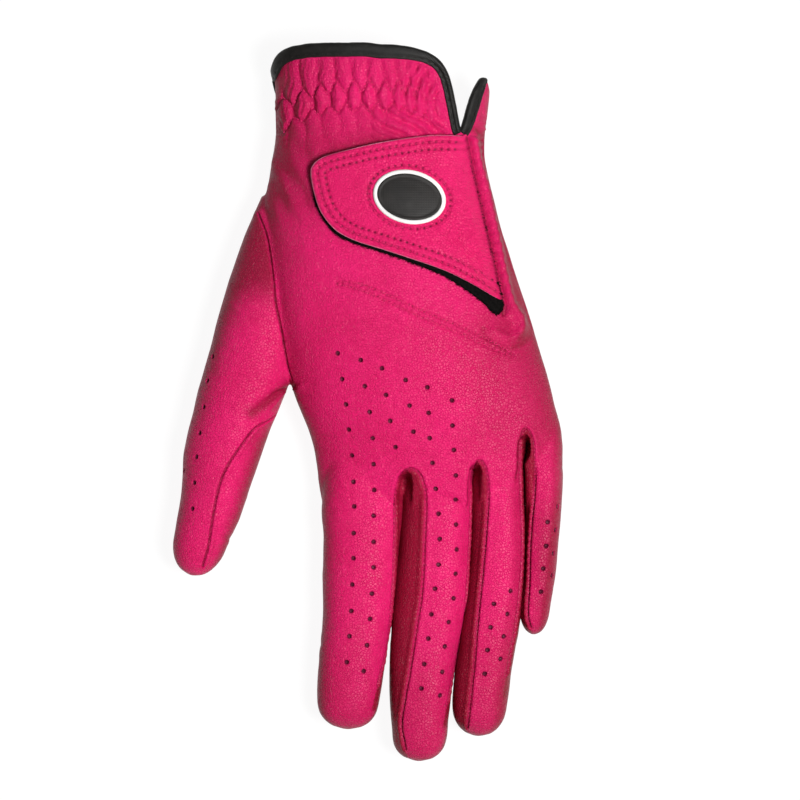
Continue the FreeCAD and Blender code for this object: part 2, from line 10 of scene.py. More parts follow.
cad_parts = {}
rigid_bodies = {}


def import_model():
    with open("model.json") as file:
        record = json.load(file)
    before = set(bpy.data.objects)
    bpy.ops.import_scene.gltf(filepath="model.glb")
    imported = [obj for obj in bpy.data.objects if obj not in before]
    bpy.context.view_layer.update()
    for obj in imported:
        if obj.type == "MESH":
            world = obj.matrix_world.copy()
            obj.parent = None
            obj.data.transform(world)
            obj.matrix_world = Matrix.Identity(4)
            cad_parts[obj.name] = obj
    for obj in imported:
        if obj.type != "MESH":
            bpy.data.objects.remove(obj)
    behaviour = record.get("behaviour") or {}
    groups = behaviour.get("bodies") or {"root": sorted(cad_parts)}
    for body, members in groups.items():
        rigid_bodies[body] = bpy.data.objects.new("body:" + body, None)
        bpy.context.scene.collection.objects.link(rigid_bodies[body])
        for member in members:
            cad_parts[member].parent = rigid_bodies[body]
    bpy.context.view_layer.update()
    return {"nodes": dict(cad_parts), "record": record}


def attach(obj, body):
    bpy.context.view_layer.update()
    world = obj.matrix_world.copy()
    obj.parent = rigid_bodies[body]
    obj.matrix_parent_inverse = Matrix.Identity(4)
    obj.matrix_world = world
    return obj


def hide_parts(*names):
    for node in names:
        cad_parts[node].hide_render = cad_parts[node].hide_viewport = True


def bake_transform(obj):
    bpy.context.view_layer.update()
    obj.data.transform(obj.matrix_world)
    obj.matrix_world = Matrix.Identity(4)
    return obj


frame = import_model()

random.seed(7)
MM = 0.001
VOXEL = 0.58
joints = {j["name"]: j for j in frame["record"]["behaviour"]["joints"]}


# ------------------------------------------------------------------ small helpers
def ramp(s, lo, hi):
    """A smooth step from 0 at lo to 1 at hi."""
    t = np.clip((s - lo) / (hi - lo), 0, 1)
    return t * t * (3 - 2 * t)


def bell(d, width):
    return np.exp(-(d / width) ** 2)


def ripple(x, pitch, phase=0.0):
    return np.sin(x * 2 * np.pi / pitch + phase)


def unit(rows):
    """Each row scaled to length 1."""
    return rows / np.maximum(np.linalg.norm(rows, axis=1, keepdims=True), 1e-9)


def left_of(line):
    """Unit normals on the left of a plan line."""
    d = unit(np.gradient(line, axis=0))
    return np.stack([-d[:, 1], d[:, 0]], 1)


def running(line):
    """Distance along a line at each of its points."""
    return np.concatenate([[0], np.cumsum(np.linalg.norm(np.diff(line, axis=0), axis=1))])


def at_run(line, run, at):
    """The points of a line at given distances along it."""
    return np.stack([np.interp(at, run, line[:, k]) for k in range(line.shape[1])], -1)


def relaxed(chain, rounds):
    """A chain of rows drawn towards the mean of their neighbours, ends kept."""
    for _ in range(rounds):
        mid = chain[1:-1] + 0.5 * ((chain[:-2] + chain[2:]) / 2 - chain[1:-1])
        chain = np.concatenate([chain[:1], mid, chain[-1:]])
    return chain


def loft_faces(count, n, base=0):
    """Faces of a closed tube: count rings of n points each."""
    faces = []
    for r in range(base, base + (count - 1) * n, n):
        faces += [(r + k, r + (k + 1) % n, r + n + (k + 1) % n, r + n + k) for k in range(n)]
    last = base + (count - 1) * n
    return faces + [tuple(range(base, base + n))[::-1], tuple(range(last, last + n))]


def loft(rings):
    rings = np.array(rings)
    return rings.reshape(-1, 3), loft_faces(len(rings), rings.shape[1])


def new_mesh(name, verts, faces, smooth=True):
    mesh = bpy.data.meshes.new(name)
    mesh.from_pydata([tuple(v * MM) for v in np.asarray(verts, float)], [], [tuple(f) for f in faces])
    mesh.update()
    if smooth:
        mesh.shade_smooth()
    obj = bpy.data.objects.new(name, mesh)
    bpy.context.scene.collection.objects.link(obj)
    return obj


def part_mesh(name, points, faces):
    """A mesh of some of the faces, and which points it uses."""
    used = np.unique(np.concatenate([np.array(f) for f in faces]))
    place = {int(v): k for k, v in enumerate(used)}
    return new_mesh(name, points[used], [[place[v] for v in f] for f in faces]), used


def outward(obj):
    """Face normals turned outwards."""
    work = bmesh.new()
    work.from_mesh(obj.data)
    bmesh.ops.recalc_face_normals(work, faces=work.faces)
    work.to_mesh(obj.data)
    work.free()


def evaluated(obj):
    """The object's mesh with its modifiers applied."""
    graph = bpy.context.evaluated_depsgraph_get()
    return bpy.data.meshes.new_from_object(obj.evaluated_get(graph))


def points_of(mesh):
    """Vertices in millimetres."""
    co = np.empty(len(mesh.vertices) * 3)
    mesh.vertices.foreach_get("co", co)
    return co.reshape(-1, 3) * 1000.0


def four(faces):
    """Faces as rows of four; a triangle repeats its last corner."""
    return np.array([f if len(f) == 4 else (f[0], f[1], f[2], f[2]) for f in faces])


# ------------------------------------------------------------------ forms, in millimetres
# Hand: place along Y, centre X, half width, half height. Finger rows: distance along it from the
# knuckle, shift aside, half width, half height. The zone is where its leather bends at the knuckle.
HAND = [(120, 3.6, 34.6, 14.6), (98, 3.7, 34.0, 14.0), (78, 3.0, 33.0, 13.5),
        (60, 3.5, 36.0, 14.0), (42, 6.2, 38.5, 15.0), (22, 10.9, 40.4, 15.2),
        (2, 17.0, 39.9, 14.4), (-16, 21.8, 38.5, 12.6), (-31, 22.6, 37.4, 10.5),
        (-35, 22.6, 36.5, 8.5)]
# Crotches: arch top, half width of the arch, distance from the arch top to the bottom of the fork.
FORKS = [((11.4, -20.6), 2.5, 4.4), ((33.2, -18.2), 2.0, 3.2), ((48.4, -8.8), 2.0, 4.0)]
FINGERS = {
    "index": {"slant": 4.0, "len": 68.2, "zone": (-7.4, 9.0),
              "rows": [(-30, 0.4, 11.6, 9.0), (-12, 0, 12.4, 9.6), (0, 0, 12.5, 9.6),
                       (10, 0.4, 11.7, 9.2), (21.5, 0.65, 11.4, 9.2), (32, 0.7, 10.6, 8.8),
                       (38.6, 0.45, 10.25, 8.6), (51.6, 0.1, 9.95, 8.2), (59.6, 0, 9.5, 7.8)]},
    "middle": {"slant": 4.0, "len": 79.2, "zone": (-7.4, 9.0),
               "rows": [(-30, 0.4, 9.6, 9.2), (-12, 0, 10.3, 9.6), (0, 0, 10.3, 9.6),
                        (13, 0.2, 10.5, 9.6), (27, 0.2, 10.9, 9.3), (37, -0.5, 10.4, 9.0),
                        (55, -1.35, 9.55, 8.6), (65, -1.1, 8.85, 8.2), (71, -0.6, 8.3, 7.9)]},
    "ring": {"slant": 4.0, "len": 75.4, "zone": (-7.2, 9.0),
             "rows": [(-30, 0.2, 7.4, 9.0), (-12, 0, 7.7, 9.5), (0, 0, 7.7, 9.6),
                      (12, 1.0, 7.85, 9.5), (25.5, 1.3, 8.1, 9.3), (42, 0.45, 8.3, 9.1),
                      (58.6, -0.9, 8.5, 8.8), (66, -1.1, 8.1, 8.3)]},
    "little": {"slant": 4.0, "len": 50.5, "zone": (-7.8, 8.6),
               "rows": [(-26, -3.6, 3.2, 5.0), (-11, -0.8, 5.4, 7.6), (0, 0.1, 5.6, 8.8),
                        (16.5, 1.0, 5.2, 8.4), (32, 1.1, 4.8, 7.8), (41.6, 0.3, 4.5, 7.2)]},
    "thumb": {"slant": 15.6, "len": 48.6, "zone": (-7.0, 7.6),
              "rows": [(-70, -6.3, 3.6, 3.0), (-55, -3.4, 8.5, 7.6), (-38, -1.0, 11.8, 10.2),
                       (-21, 0.7, 13.4, 11.0), (-8, 0.2, 13.0, 10.8), (0, 0, 12.3, 10.6),
                       (12.5, -0.2, 11.8, 10.0), (21, 0.4, 10.5, 9.3), (28.5, 0.7, 9.5, 8.6),
                       (36, 0.5, 8.6, 7.6)]},
}
# Fingertip dome: share of the length that is left, share of the width and height.
DOME = [(0.35, 0.94), (0.62, 0.80), (0.83, 0.58), (0.95, 0.33), (1.0, 0.10)]
# How far a finger is moved aside while the forms are joined.
SPREAD = {"index": -4.5, "middle": -1.5, "ring": 1.5, "little": 4.5, "thumb": 0.0}
# How much fuller a finger is on its thumb side and its other side, and how much longer.
FULLER = {"index": (-0.1, 0.9), "middle": (0.9, 0.85), "ring": (0.95, 0.75), "little": (0.85, -0.1),
          "thumb": (0.2, 0.0)}
LONGER = {"index": 0.3, "middle": 0.9, "ring": 0.9, "little": 0.5, "thumb": 1.0}
# Where along a finger it is moved aside, the lowest height of the forms, how boxy they are,
# and how far the hand's round underside sinks below the table before it is made flat.
OPEN_FROM, OPEN_TO = -9.0, -1.0
LOWEST = 0.25
HAND_SQUARE, FINGER_SQUARE = 0.94, 0.80
SINK = 2.0
for name, data in FINGERS.items():
    a = math.radians(data["slant"])
    data["o"] = np.array(joints[name + "_knuckle"]["pos_m"]) * 1000.0 + np.array([0, 0, 3.0])
    data["d"] = np.array([-math.sin(a), -math.cos(a), 0.0])
    data["a"] = np.array([math.cos(a), -math.sin(a), 0.0])
    bend = np.array(joints[name + "_middle_bend"]["pos_m"]) * 1000.0
    data["mid"] = float(np.dot(bend - data["o"], data["d"]))
    last = data["rows"][-1]
    tip = [(last[0] + (data["len"] - last[0]) * share, last[1], last[2] * radius, last[3] * radius)
           for share, radius in DOME]
    data["rows"] = np.array(data["rows"] + tip, float)
NAMES = list(FINGERS)
ASIDE = np.array([data["a"] for data in FINGERS.values()])


def smooth_rows(rows, step):
    """Rows resampled along their first column by a monotone cubic."""
    x = rows[:, 0]
    at = np.arange(x[0], x[-1] + 1e-6, step)
    at = np.unique(np.concatenate([at, x[-1:]]))
    out = [at]
    h = np.diff(x)
    for c in range(1, rows.shape[1]):
        y = rows[:, c]
        d = np.diff(y) / h
        m = np.zeros(len(x))
        m[0], m[-1] = d[0], d[-1]
        for i in range(1, len(x) - 1):
            if d[i - 1] * d[i] > 0:
                w1 = 2 * h[i] + h[i - 1]
                w2 = h[i] + 2 * h[i - 1]
                m[i] = (w1 + w2) / (w1 / d[i - 1] + w2 / d[i])
        k = np.clip(np.searchsorted(x, at) - 1, 0, len(h) - 1)
        t = (at - x[k]) / h[k]
        out.append((2 * t**3 - 3 * t**2 + 1) * y[k] + (t**3 - 2 * t**2 + t) * h[k] * m[k]
                   + (-2 * t**3 + 3 * t**2) * y[k + 1] + (t**3 - t**2) * h[k] * m[k + 1])
    return np.stack(out, 1)


TURN = np.linspace(0, 2 * np.pi, 65)[:-1]


def squared(power):
    """Cosine and sine round a ring whose corners are pushed out."""
    return [np.sign(w) * np.abs(w) ** power for w in (np.cos(TURN), np.sin(TURN))]


def lifted(rings):
    """Rings as an array, none of it below the lowest height."""
    rings = np.array(rings)
    rings[:, :, 2] = np.maximum(rings[:, :, 2], LOWEST)
    return rings


all_verts, all_faces = [], []


def add(verts, faces):
    base = sum(len(v) for v in all_verts)
    all_verts.append(verts)
    all_faces.extend(tuple(i + base for i in f) for f in faces)


rings = []
co, si = squared(HAND_SQUARE)
for y, cx, hw, hh in smooth_rows(np.array(sorted(HAND), float), 1.5):
    waist = 1 - 0.035 * ramp(y, 72.0, 84.0) * ramp(-y, -106.0, -98.0)
    px = np.where(co < 0, co * hw * waist, co * hw)
    rings.append(np.stack([cx + px, np.full_like(px, y), hh - SINK + si * hh], 1))
hand_solid = new_mesh("hand_solid", *loft(lifted(rings)[:, ::-1]))
outward(hand_solid)
for name, data in FINGERS.items():
    fine = smooth_rows(data["rows"], 1.2)
    near, away = FULLER[name]
    grow = ramp(fine[:, 0], OPEN_FROM, -2.0) * (1 - 0.6 * ramp(fine[:, 0], 30.0, 60.0))
    fine[:, 2] += grow * (near + away) / 2 * fine[:, 2] / fine[:, 2].max()
    fine[:, 1] += grow * (away - near) / 2
    fine[:, 0] += LONGER[name] * ramp(fine[:, 0], data["len"] * 0.6, data["len"])
    data["fine"] = fine

# Each fork is scooped out of the hand from a height above it: shallow at its arch, right
# through past its bottom.
HIGH = 26.0
d, a = FINGERS["middle"]["d"], FINGERS["middle"]["a"]
for k, ((fx, fy), half, deep) in enumerate(FORKS):
    rings = []
    for t, w, bottom in ((-0.3, 0.10, 23.2), (0.5, 0.50, 21.4), (1.2, 0.72, 20.0), (2.1, 0.86, 17.5),
                         (0.62 * deep + 0.6, 0.95, 12.0), (deep, 1.0, 3.0), (deep + 1.2, 1.0, -12.0),
                         (deep + 4.0, 1.0, -40.0), (40.0, 1.0, -40.0)):
        rings.append(np.array([fx, fy, HIGH]) + d * t + np.outer(squared(0.8)[0] * half * w, a)
                     + np.outer(np.sin(TURN) * (HIGH - bottom), [0, 0, 1]))
    cutter = new_mesh("cutter%d" % k, *loft(rings))
    outward(cutter)
    cut_by = hand_solid.modifiers.new("fork%d" % k, "BOOLEAN")
    cut_by.operation = "DIFFERENCE"
    cut_by.solver = "EXACT"
    cut_by.object = cutter
scooped = evaluated(hand_solid)
for o in [o for o in bpy.context.scene.objects if o.name.startswith(("cutter", "hand_solid"))]:
    bpy.data.objects.remove(o)
hand_verts = points_of(scooped)
hand_faces = [tuple(p.vertices) for p in scooped.polygons]
for name, data in FINGERS.items():
    box_cos, box_sin = squared(HAND_SQUARE if name == "thumb" else FINGER_SQUARE)
    rings = []
    for s, u, hw, hh in data["fine"]:
        shift = SPREAD[name] * ramp(s, OPEN_FROM, OPEN_TO)
        rings.append(data["o"] + data["d"] * s + data["a"] * (u + shift)
                     + np.outer(box_cos * hw, data["a"]) + np.outer(box_sin * hh, [0, 0, 1]))
    add(*loft(lifted(rings)))


def finger_fields(points, spread):
    """For each point: nearest finger, distance along it and roundness there."""
    best = np.full(len(points), 9.0)
    which = np.full(len(points), -1)
    along = np.zeros(len(points))
    for i, (name, data) in enumerate(FINGERS.items()):
        rel = points - data["o"]
        s = rel @ data["d"]
        rows = data["fine"]
        shift = SPREAD[name] * ramp(s, OPEN_FROM, OPEN_TO) if spread else 0.0
        u = rel @ data["a"] - np.interp(s, rows[:, 0], rows[:, 1]) - shift
        hw = np.maximum(np.interp(s, rows[:, 0], rows[:, 2]), 2.0)
        hh = np.maximum(np.interp(s, rows[:, 0], rows[:, 3]), 2.0)
        rho = np.sqrt((u / hw) ** 2 + (rel[:, 2] / hh) ** 2)
        rho = np.where(s < rows[0, 0], 9.0, rho)
        take = rho < best
        best = np.where(take, rho, best)
        which = np.where(take, i, which)
        along = np.where(take, s, along)
    return which, along, best


def opened(which, along):
    """The sideways move that parts the fingers while they are joined to the hand."""
    size = np.array([SPREAD[n] for n in NAMES])[which] * ramp(along, OPEN_FROM, OPEN_TO)
    return ASIDE[which] * size[:, None]


which, along, rho = finger_fields(hand_verts, False)
for k, ((fx, fy), half, deep) in enumerate(FORKS):
    aside = (hand_verts - np.array([fx, fy, 0.0])) @ a
    beside_fork = (np.abs(aside) < 5.0) & (hand_verts[:, 1] < fy + 3.0)
    for i, own in ((k, aside <= 0), (k + 1, aside > 0)):
        own = own & beside_fork
        which[own] = i
        along[own] = (hand_verts[own] - FINGERS[NAMES[i]]["o"]) @ FINGERS[NAMES[i]]["d"]
add(hand_verts + opened(which, along), hand_faces)
union = new_mesh("union", np.concatenate(all_verts), all_faces)
outward(union)
modifier = union.modifiers.new("remesh", "REMESH")
modifier.mode = "VOXEL"
modifier.voxel_size = VOXEL * MM
remeshed = evaluated(union)
bpy.data.objects.remove(union)
P = points_of(remeshed)
quads = [tuple(p.vertices) for p in remeshed.polygons]
edges = np.empty(len(remeshed.edges) * 2, int)
remeshed.edges.foreach_get("vertices", edges)
edges = edges.reshape(-1, 2)
degree = np.bincount(edges.ravel(), minlength=len(P)).astype(float)


def relax(values, strength):
    """Each value moved towards, or away from, the mean of its neighbours."""
    total = np.zeros_like(values)
    for c in range(values.shape[1]):
        total[:, c] = (np.bincount(edges[:, 0], values[edges[:, 1], c], len(values))
                       + np.bincount(edges[:, 1], values[edges[:, 0], c], len(values)))
    return values + strength * (total / degree[:, None] - values)


for _ in range(6):
    P = relax(relax(P, 0.6), -0.42)
which, along, rho = finger_fields(P, True)
P = P - opened(which, along)


# ------------------------------------------------------------------ lines drawn on the back
def curve(points, step=0.5):
    """A smooth line through points (Catmull-Rom), evenly stepped."""
    p = np.array(points, float)
    if len(p) == 2:
        total = np.linalg.norm(p[1] - p[0])
        return p[0] + np.linspace(0, 1, max(int(total / step), 2))[:, None] * (p[1] - p[0])
    e = np.concatenate([[2 * p[0] - p[1]], p, [2 * p[-1] - p[-2]]])
    out = []
    for i in range(1, len(e) - 2):
        t = np.linspace(0, 1, 24)[:-1, None]
        a, b, c, d = e[i - 1], e[i], e[i + 1], e[i + 2]
        out.append(0.5 * ((2 * b) + (c - a) * t + (2 * a - 5 * b + 4 * c - d) * t**2
                          + (3 * b - a - 3 * c + d) * t**3))
    line = np.concatenate(out + [p[-1:]])
    run = running(line)
    return at_run(line, run, np.linspace(0, run[-1], max(int(run[-1] / step), 2) + 1))


def to_line(points, line, limit=8.0):
    """Signed distance in plan to a line (left is positive) and distance along it."""
    xy = points[:, :2]
    dist = np.full(len(xy), 99.0)
    run = np.zeros(len(xy))
    lo, hi = line.min(0) - limit, line.max(0) + limit
    near = np.where(np.all((xy > lo) & (xy < hi), axis=1))[0]
    if len(near) == 0:
        return dist, run
    q = xy[near]
    best = np.full(len(near), 99.0)
    side = np.zeros(len(near))
    at = np.zeros(len(near))
    total = 0.0
    for a, d in zip(line[:-1], np.diff(line, axis=0)):
        size = np.linalg.norm(d)
        if size < 1e-9:
            continue
        rel = q - a
        t = np.clip(rel @ d / size**2, 0, 1)
        r = np.linalg.norm(rel - t[:, None] * d, axis=1)
        take = r < best
        best = np.where(take, r, best)
        side = np.where(take, np.sign(d[0] * rel[:, 1] - d[1] * rel[:, 0]), side)
        at = np.where(take, total + t * size, at)
        total += size
    dist[near] = best * np.where(side == 0, 1, side)
    run[near] = at
    return dist, run


SEAMS = {
    # Finger side-wall seams on the back: up one finger, round the arch, down the next.
    "index_middle": [(2.8, -88.0), (5.6, -76.0), (7.3, -60.0), (7.8, -48.0), (8.0, -38.0), (8.1, -29.3),
                     (9.1, -24.2), (10.8, -21.6), (13.1, -20.6), (15.5, -21.9), (16.9, -25.0),
                     (17.7, -29.3), (17.4, -41.0), (16.5, -58.1), (15.0, -68.4), (13.1, -81.0),
                     (11.1, -92.5), (10.2, -100.0), (11.4, -107.5)],
    "middle_ring": [(24.4, -93.0), (27.0, -80.0), (29.6, -66.0), (30.8, -52.0), (31.3, -40.0),
                    (31.5, -28.5), (31.9, -22.0),
                    (33.9, -18.1), (36.2, -20.6), (37.0, -28.0), (36.3, -40.5), (35.1, -54.1),
                    (33.9, -65.6), (32.6, -81.4), (31.2, -95.0), (30.6, -101.0)],
    "ring_little": [(42.8, -84.0), (45.2, -70.0), (47.2, -54.0), (47.6, -40.0), (47.0, -27.0),
                    (46.7, -15.5), (46.9, -11.2),
                    (48.3, -8.3), (50.3, -10.2), (51.2, -15.0), (51.5, -23.1), (50.9, -31.8),
                    (50.0, -42.6), (49.5, -57.8), (49.2, -66.0), (50.2, -70.0)],
}
SEAMS = {k: curve(v) for k, v in SEAMS.items()}
THUMB_SEAM = curve([(-34.3, 58.5), (-31.6, 51.3), (-29.8, 41.0), (-28.6, 30.0), (-26.8, 21.5),
                    (-25.0, 11.5), (-23.4, 6.4)])
THUMB_LENGTH = curve([(-26.0, -1.5), (-30.3, -5.4), (-35.0, -8.2), (-39.0, -13.2), (-43.3, -19.4),
                      (-46.1, -25.9), (-48.3, -36.4), (-49.5, -44.5), (-51.4, -51.0)])
THUMB_FOLD = curve([(-23.6, 4.6), (-27.0, 3.2), (-32.0, -0.6), (-36.0, -3.4)])
RIDGE = curve([(31.9, 81.0), (33.2, 74.0), (35.6, 65.3), (37.6, 56.0), (39.4, 47.6), (41.4, 38.0),
               (43.5, 30.4), (46.6, 25.2), (46.4, 21.2), (42.9, 19.6), (38.6, 21.6)])
FOLD = curve([(30.3, 81.3), (34.6, 60.9), (41.3, 31.0), (42.0, 27.0)])
KNUCKLE = curve([(-9.6, 36.4), (-3.0, 35.4), (4.1, 32.6), (15.9, 27.1), (27.7, 22.2), (37.3, 17.8),
                 (45.0, 14.0)])
CUFF = curve([(-31.0, 97.2), (-30.4, 101.5), (-28.3, 106.6), (-23.2, 109.2), (-12.0, 109.9),
              (2.0, 109.6), (12.0, 108.7), (18.3, 107.0), (22.6, 103.8), (25.2, 98.0),
              (26.6, 91.0), (28.3, 82.6)])
LOBE = curve([(28.5, 82.5), (30.2, 88.0), (32.2, 94.5), (35.0, 100.0)])
LOBE_OUT = curve([(35.0, 100.0), (36.6, 99.4), (37.6, 96.0), (40.0, 90.0)])
PALM_EDGE = np.array([(-60.0, 96.5), (-31.0, 95.0), (20.0, 85.0), (38.0, 79.0), (60.0, 79.0)])

# Pleats of the gathered wrist, and the middle lines of its two rows of stitches.
CREASES = np.array([-40.0, -34.5, -29.3, -23.4, -17.7, -12.5, -7.2, -2.1, 2.7, 7.3, 11.0, 14.2, 17.2,
                    20.0, 22.8])
UPPER = curve([(-30.5, 90.0), (-25.6, 92.4), (-18.0, 95.2), (-10.8, 96.7), (0.0, 97.1), (9.3, 96.8),
               (17.5, 94.8)])
LOWER = curve([(-30.5, 81.5), (-25.0, 85.4), (-18.0, 89.0), (-10.0, 90.3), (0.0, 90.5), (9.9, 90.0),
               (18.5, 87.0)])


def cell(xs):
    """Which pleat a point is in, counted along the wrist."""
    return np.interp(xs, CREASES, np.arange(len(CREASES)))


def zigzag(line, size):
    xs = np.arange(line[0, 0], line[-1, 0], 0.25)
    tri = 1 - 2 * np.abs(2 * (cell(xs) % 1.0) - 1)
    return np.stack([xs, np.interp(xs, line[:, 0], line[:, 1]) - size * tri], 1)


UPPER_ZIG = zigzag(UPPER, -2.1)
LOWER_ZIG = zigzag(LOWER, 1.5)

# ------------------------------------------------------------------ finer faces along the seams
bm = bmesh.new()
along_layer = bm.verts.layers.float.new("along")
which_layer = bm.verts.layers.float.new("which")
made = [bm.verts.new(p) for p in P]
for v, s_value, w_value in zip(made, along, which):
    v[along_layer] = float(s_value)
    v[which_layer] = float(w_value)
for q in quads:
    bm.faces.new([made[i] for i in q])
FINE = list(SEAMS.values()) + [THUMB_SEAM, THUMB_LENGTH]
SOFT = [UPPER_ZIG, LOWER_ZIG, KNUCKLE, FOLD]
for width, lines in ((((1.7, FINE + SOFT), (0.95, FINE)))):
    bm.verts.ensure_lookup_table()
    at = np.array([v.co for v in bm.verts])
    close = np.zeros(len(at), bool)
    for line in lines:
        close |= (np.abs(to_line(at, line, 4.0)[0]) < width) & (at[:, 2] > 8.0)
    chosen = [e for e in bm.edges if close[e.verts[0].index] and close[e.verts[1].index]]
    bmesh.ops.subdivide_edges(bm, edges=chosen, cuts=1, use_grid_fill=True)
    bm.verts.index_update()
bmesh.ops.triangulate(bm, faces=[f for f in bm.faces if len(f.verts) > 4])
bm.verts.index_update()
P = np.array([v.co for v in bm.verts])
along = np.array([v[along_layer] for v in bm.verts])
which = np.rint([v[which_layer] for v in bm.verts]).astype(int)
quads = [tuple(v.index for v in f.verts) for f in bm.faces]
bm.free()


def normals_of(points):
    q = four(quads)
    corner = [points[q[:, k]] for k in range(4)]
    n = np.cross(corner[2] - corner[0], corner[3] - corner[1])
    three = q[:, 2] == q[:, 3]
    n[three] = np.cross(corner[1] - corner[0], corner[2] - corner[0])[three]
    out = np.zeros_like(points)
    for k in range(4):
        for c in range(3):
            out[:, c] += np.bincount(q[:, k], n[:, c], len(points))
    return unit(out)


N = normals_of(P)
smooth_tree = BVHTree.FromPolygons([Vector(p) for p in P], quads)
# Probes start above the glove and go down.
ABOVE, DOWN = 80.0, Vector((0, 0, -1))


def height(x, y, tree=smooth_tree):
    """Top of the surface over a plan point, with its normal."""
    hit = tree.ray_cast(Vector((x, y, ABOVE)), DOWN)
    if hit[0] is None:
        return 10.0, Vector((0, 0, 1))
    return hit[0].z, hit[1]


def rough(points, scale, seed):
    """Smooth noise at each point."""
    return np.array([noise.noise(Vector((p[0] * scale + seed, p[1] * scale, p[2] * scale)))
                     for p in points])


disp = np.zeros(len(P))
# Side walls darker: partly their own deeper tone, partly painted shade.
wall = np.zeros(len(P))      # side-wall leather
# Stitch marks of the seams, and painted shade in folds.
dark = np.zeros(len(P))      # stitched grooves and holes
flatten = np.clip(N[:, 2], 0.22, 1.0)
dorsal = ramp(N[:, 2], 0.02, 0.22)
n_big = rough(P, 0.045, 3.0)
n_mid = rough(P, 0.14, 9.0)


def relief(move, tone=0.0):
    """Raise or sink the leather, and darken it where a tone is given."""
    disp[:] += move
    dark[:] = np.maximum(dark, tone)


def of_finger(name):
    return which == NAMES.index(name)


relief(0.28 * n_big + 0.14 * n_mid)

# Which fingers each crotch seam belongs to: a point on another finger ignores it.
PAIRS = {"index_middle": ("index", "middle"), "middle_ring": ("middle", "ring"),
         "ring_little": ("ring", "little")}
FORK_START = -6.5
for key, line in SEAMS.items():
    first, second = PAIRS[key]
    top = int(np.argmax(line[:, 1]))
    for half, owner in ((line[:top + 1], first), (line[top:], second), (line, None)):
        d, run = to_line(P, half)
        own = of_finger(owner) & (along >= FORK_START) if owner else along < FORK_START
        amp = dorsal * own
        e = d / flatten
        pucker = 0.5 + 0.5 * ripple(run, 2.3, 1.5 * n_mid)
        dashes = np.cos(run * 2 * np.pi / 1.45) > -0.25
        relief(amp * (-0.60 * bell(e, 0.30) + 0.16 * bell(e - 0.9, 0.7)))
        relief(amp * (0.30 + 0.20 * pucker) * bell(-e - 1.15, 0.75),
               amp * bell(e, 0.28) * (0.52 + 0.38 * dashes))
        # The side wall beyond the seam is darker: partly its own deeper tone, partly painted shade.
        reach = ramp(d, -9.0, -7.0) if owner else ramp(d, -5.5, -4.5)
        wall = np.maximum(wall, amp * ramp(-e, 0.0, 0.8) * reach)

# Seams on the palm side of the fingers, and the leather of the side walls between the seams.
WALLS = {"index": (1,), "middle": (-1, 1), "ring": (-1, 1), "little": (-1,)}
for name, sides in WALLS.items():
    data = FINGERS[name]
    rel = P - data["o"]
    centre, hw, hh = (np.interp(along, data["fine"][:, 0], data["fine"][:, c]) for c in (1, 2, 3))
    u = rel @ data["a"] - centre
    on = of_finger(name) * ramp(along, -4.0, 2.0) * ramp(-along, 1.0 - data["len"], 5.0 - data["len"])
    pucker = 0.5 + 0.5 * ripple(along, 2.4)
    for side in sides:
        e = (np.arctan2(rel[:, 2] / hh, side * u / hw) + 0.62) * 0.5 * (hw + hh)
        relief(on * (-0.45 * bell(e, 0.42) + (0.18 + 0.12 * pucker) * bell(np.abs(e) - 1.1, 0.8)),
               on * bell(e, 0.42) * 0.6)
        # The side wall between the seams is darker: partly its own deeper tone, partly painted shade.
        wall = np.maximum(wall, on * ramp(e, 0.0, 0.8) * ramp(-e, -9.5, -7.5) * (side * u > 0))

# Thumb seams and folds.
d, run = to_line(P, THUMB_SEAM)
e = d / flatten
relief(dorsal * (-0.75 * bell(e, 0.32) + 0.34 * np.clip(1 - e / 2.6, 0, 1) * (e > 0)
                 + 0.10 * bell(e + 1.2, 0.9)), dorsal * bell(e, 0.28) * 0.9)
d, run = to_line(P, THUMB_LENGTH)
e = d / flatten
pucker = 0.5 + 0.5 * ripple(run, 2.6)
own = dorsal * of_finger("thumb")
relief(own * (-0.6 * bell(e, 0.28) + (0.22 + 0.15 * pucker) * bell(e - 0.9, 0.7)
              + 0.12 * bell(e + 0.9, 0.7)), own * bell(e, 0.28) * 0.9)
d, run = to_line(P, THUMB_FOLD)
e = d / flatten
relief(dorsal * (-0.9 * bell(e, 1.3) + 0.4 * bell(e - 3.0, 1.8)) * ramp(-run, -17, -8))

# Rolled ridge beside the tab, and the crease on its tab side.
d, run = to_line(P, RIDGE)
ridge_end = -RIDGE.shape[0] * 0.5
fade = ramp(-run, ridge_end + 1.0, ridge_end + 16.0)
ropy = 2.3 + 0.25 * np.sin(run * 1.9) * bell(np.abs(d) - 0.8, 0.8)
relief(dorsal * ((ropy * bell(d, 1.55) - 0.7 * bell(d - 3.5, 1.4)) * (0.3 + 0.7 * fade)))
d, run = to_line(P, FOLD)
# The crease is sunk, and darkened with painted shade.
relief(dorsal * -1.2 * bell(d, 0.7), dorsal * 0.8 * bell(d, 0.5))

# Knuckle elastic: a narrow stitched lens with small puckers across it.
LENS = 0.95
d, run = to_line(P, KNUCKLE)
length = 0.5 * (len(KNUCKLE) - 1)
gap = np.abs(d) - LENS * np.sqrt(np.clip(1 - (2 * run / length - 1) ** 6, 0.05, 1))
puckers = ripple(run, 1.9, 2.0 * n_mid)
dashes = np.cos(run * 2 * np.pi / 1.05) > 0.2
relief(dorsal * (-0.46 * bell(gap, 0.40) + 0.16 * bell(d, 0.7) + 0.16 * puckers * bell(gap, 0.9)),
       dorsal * 0.68 * bell(gap, 0.34) * (0.45 + 0.55 * dashes))

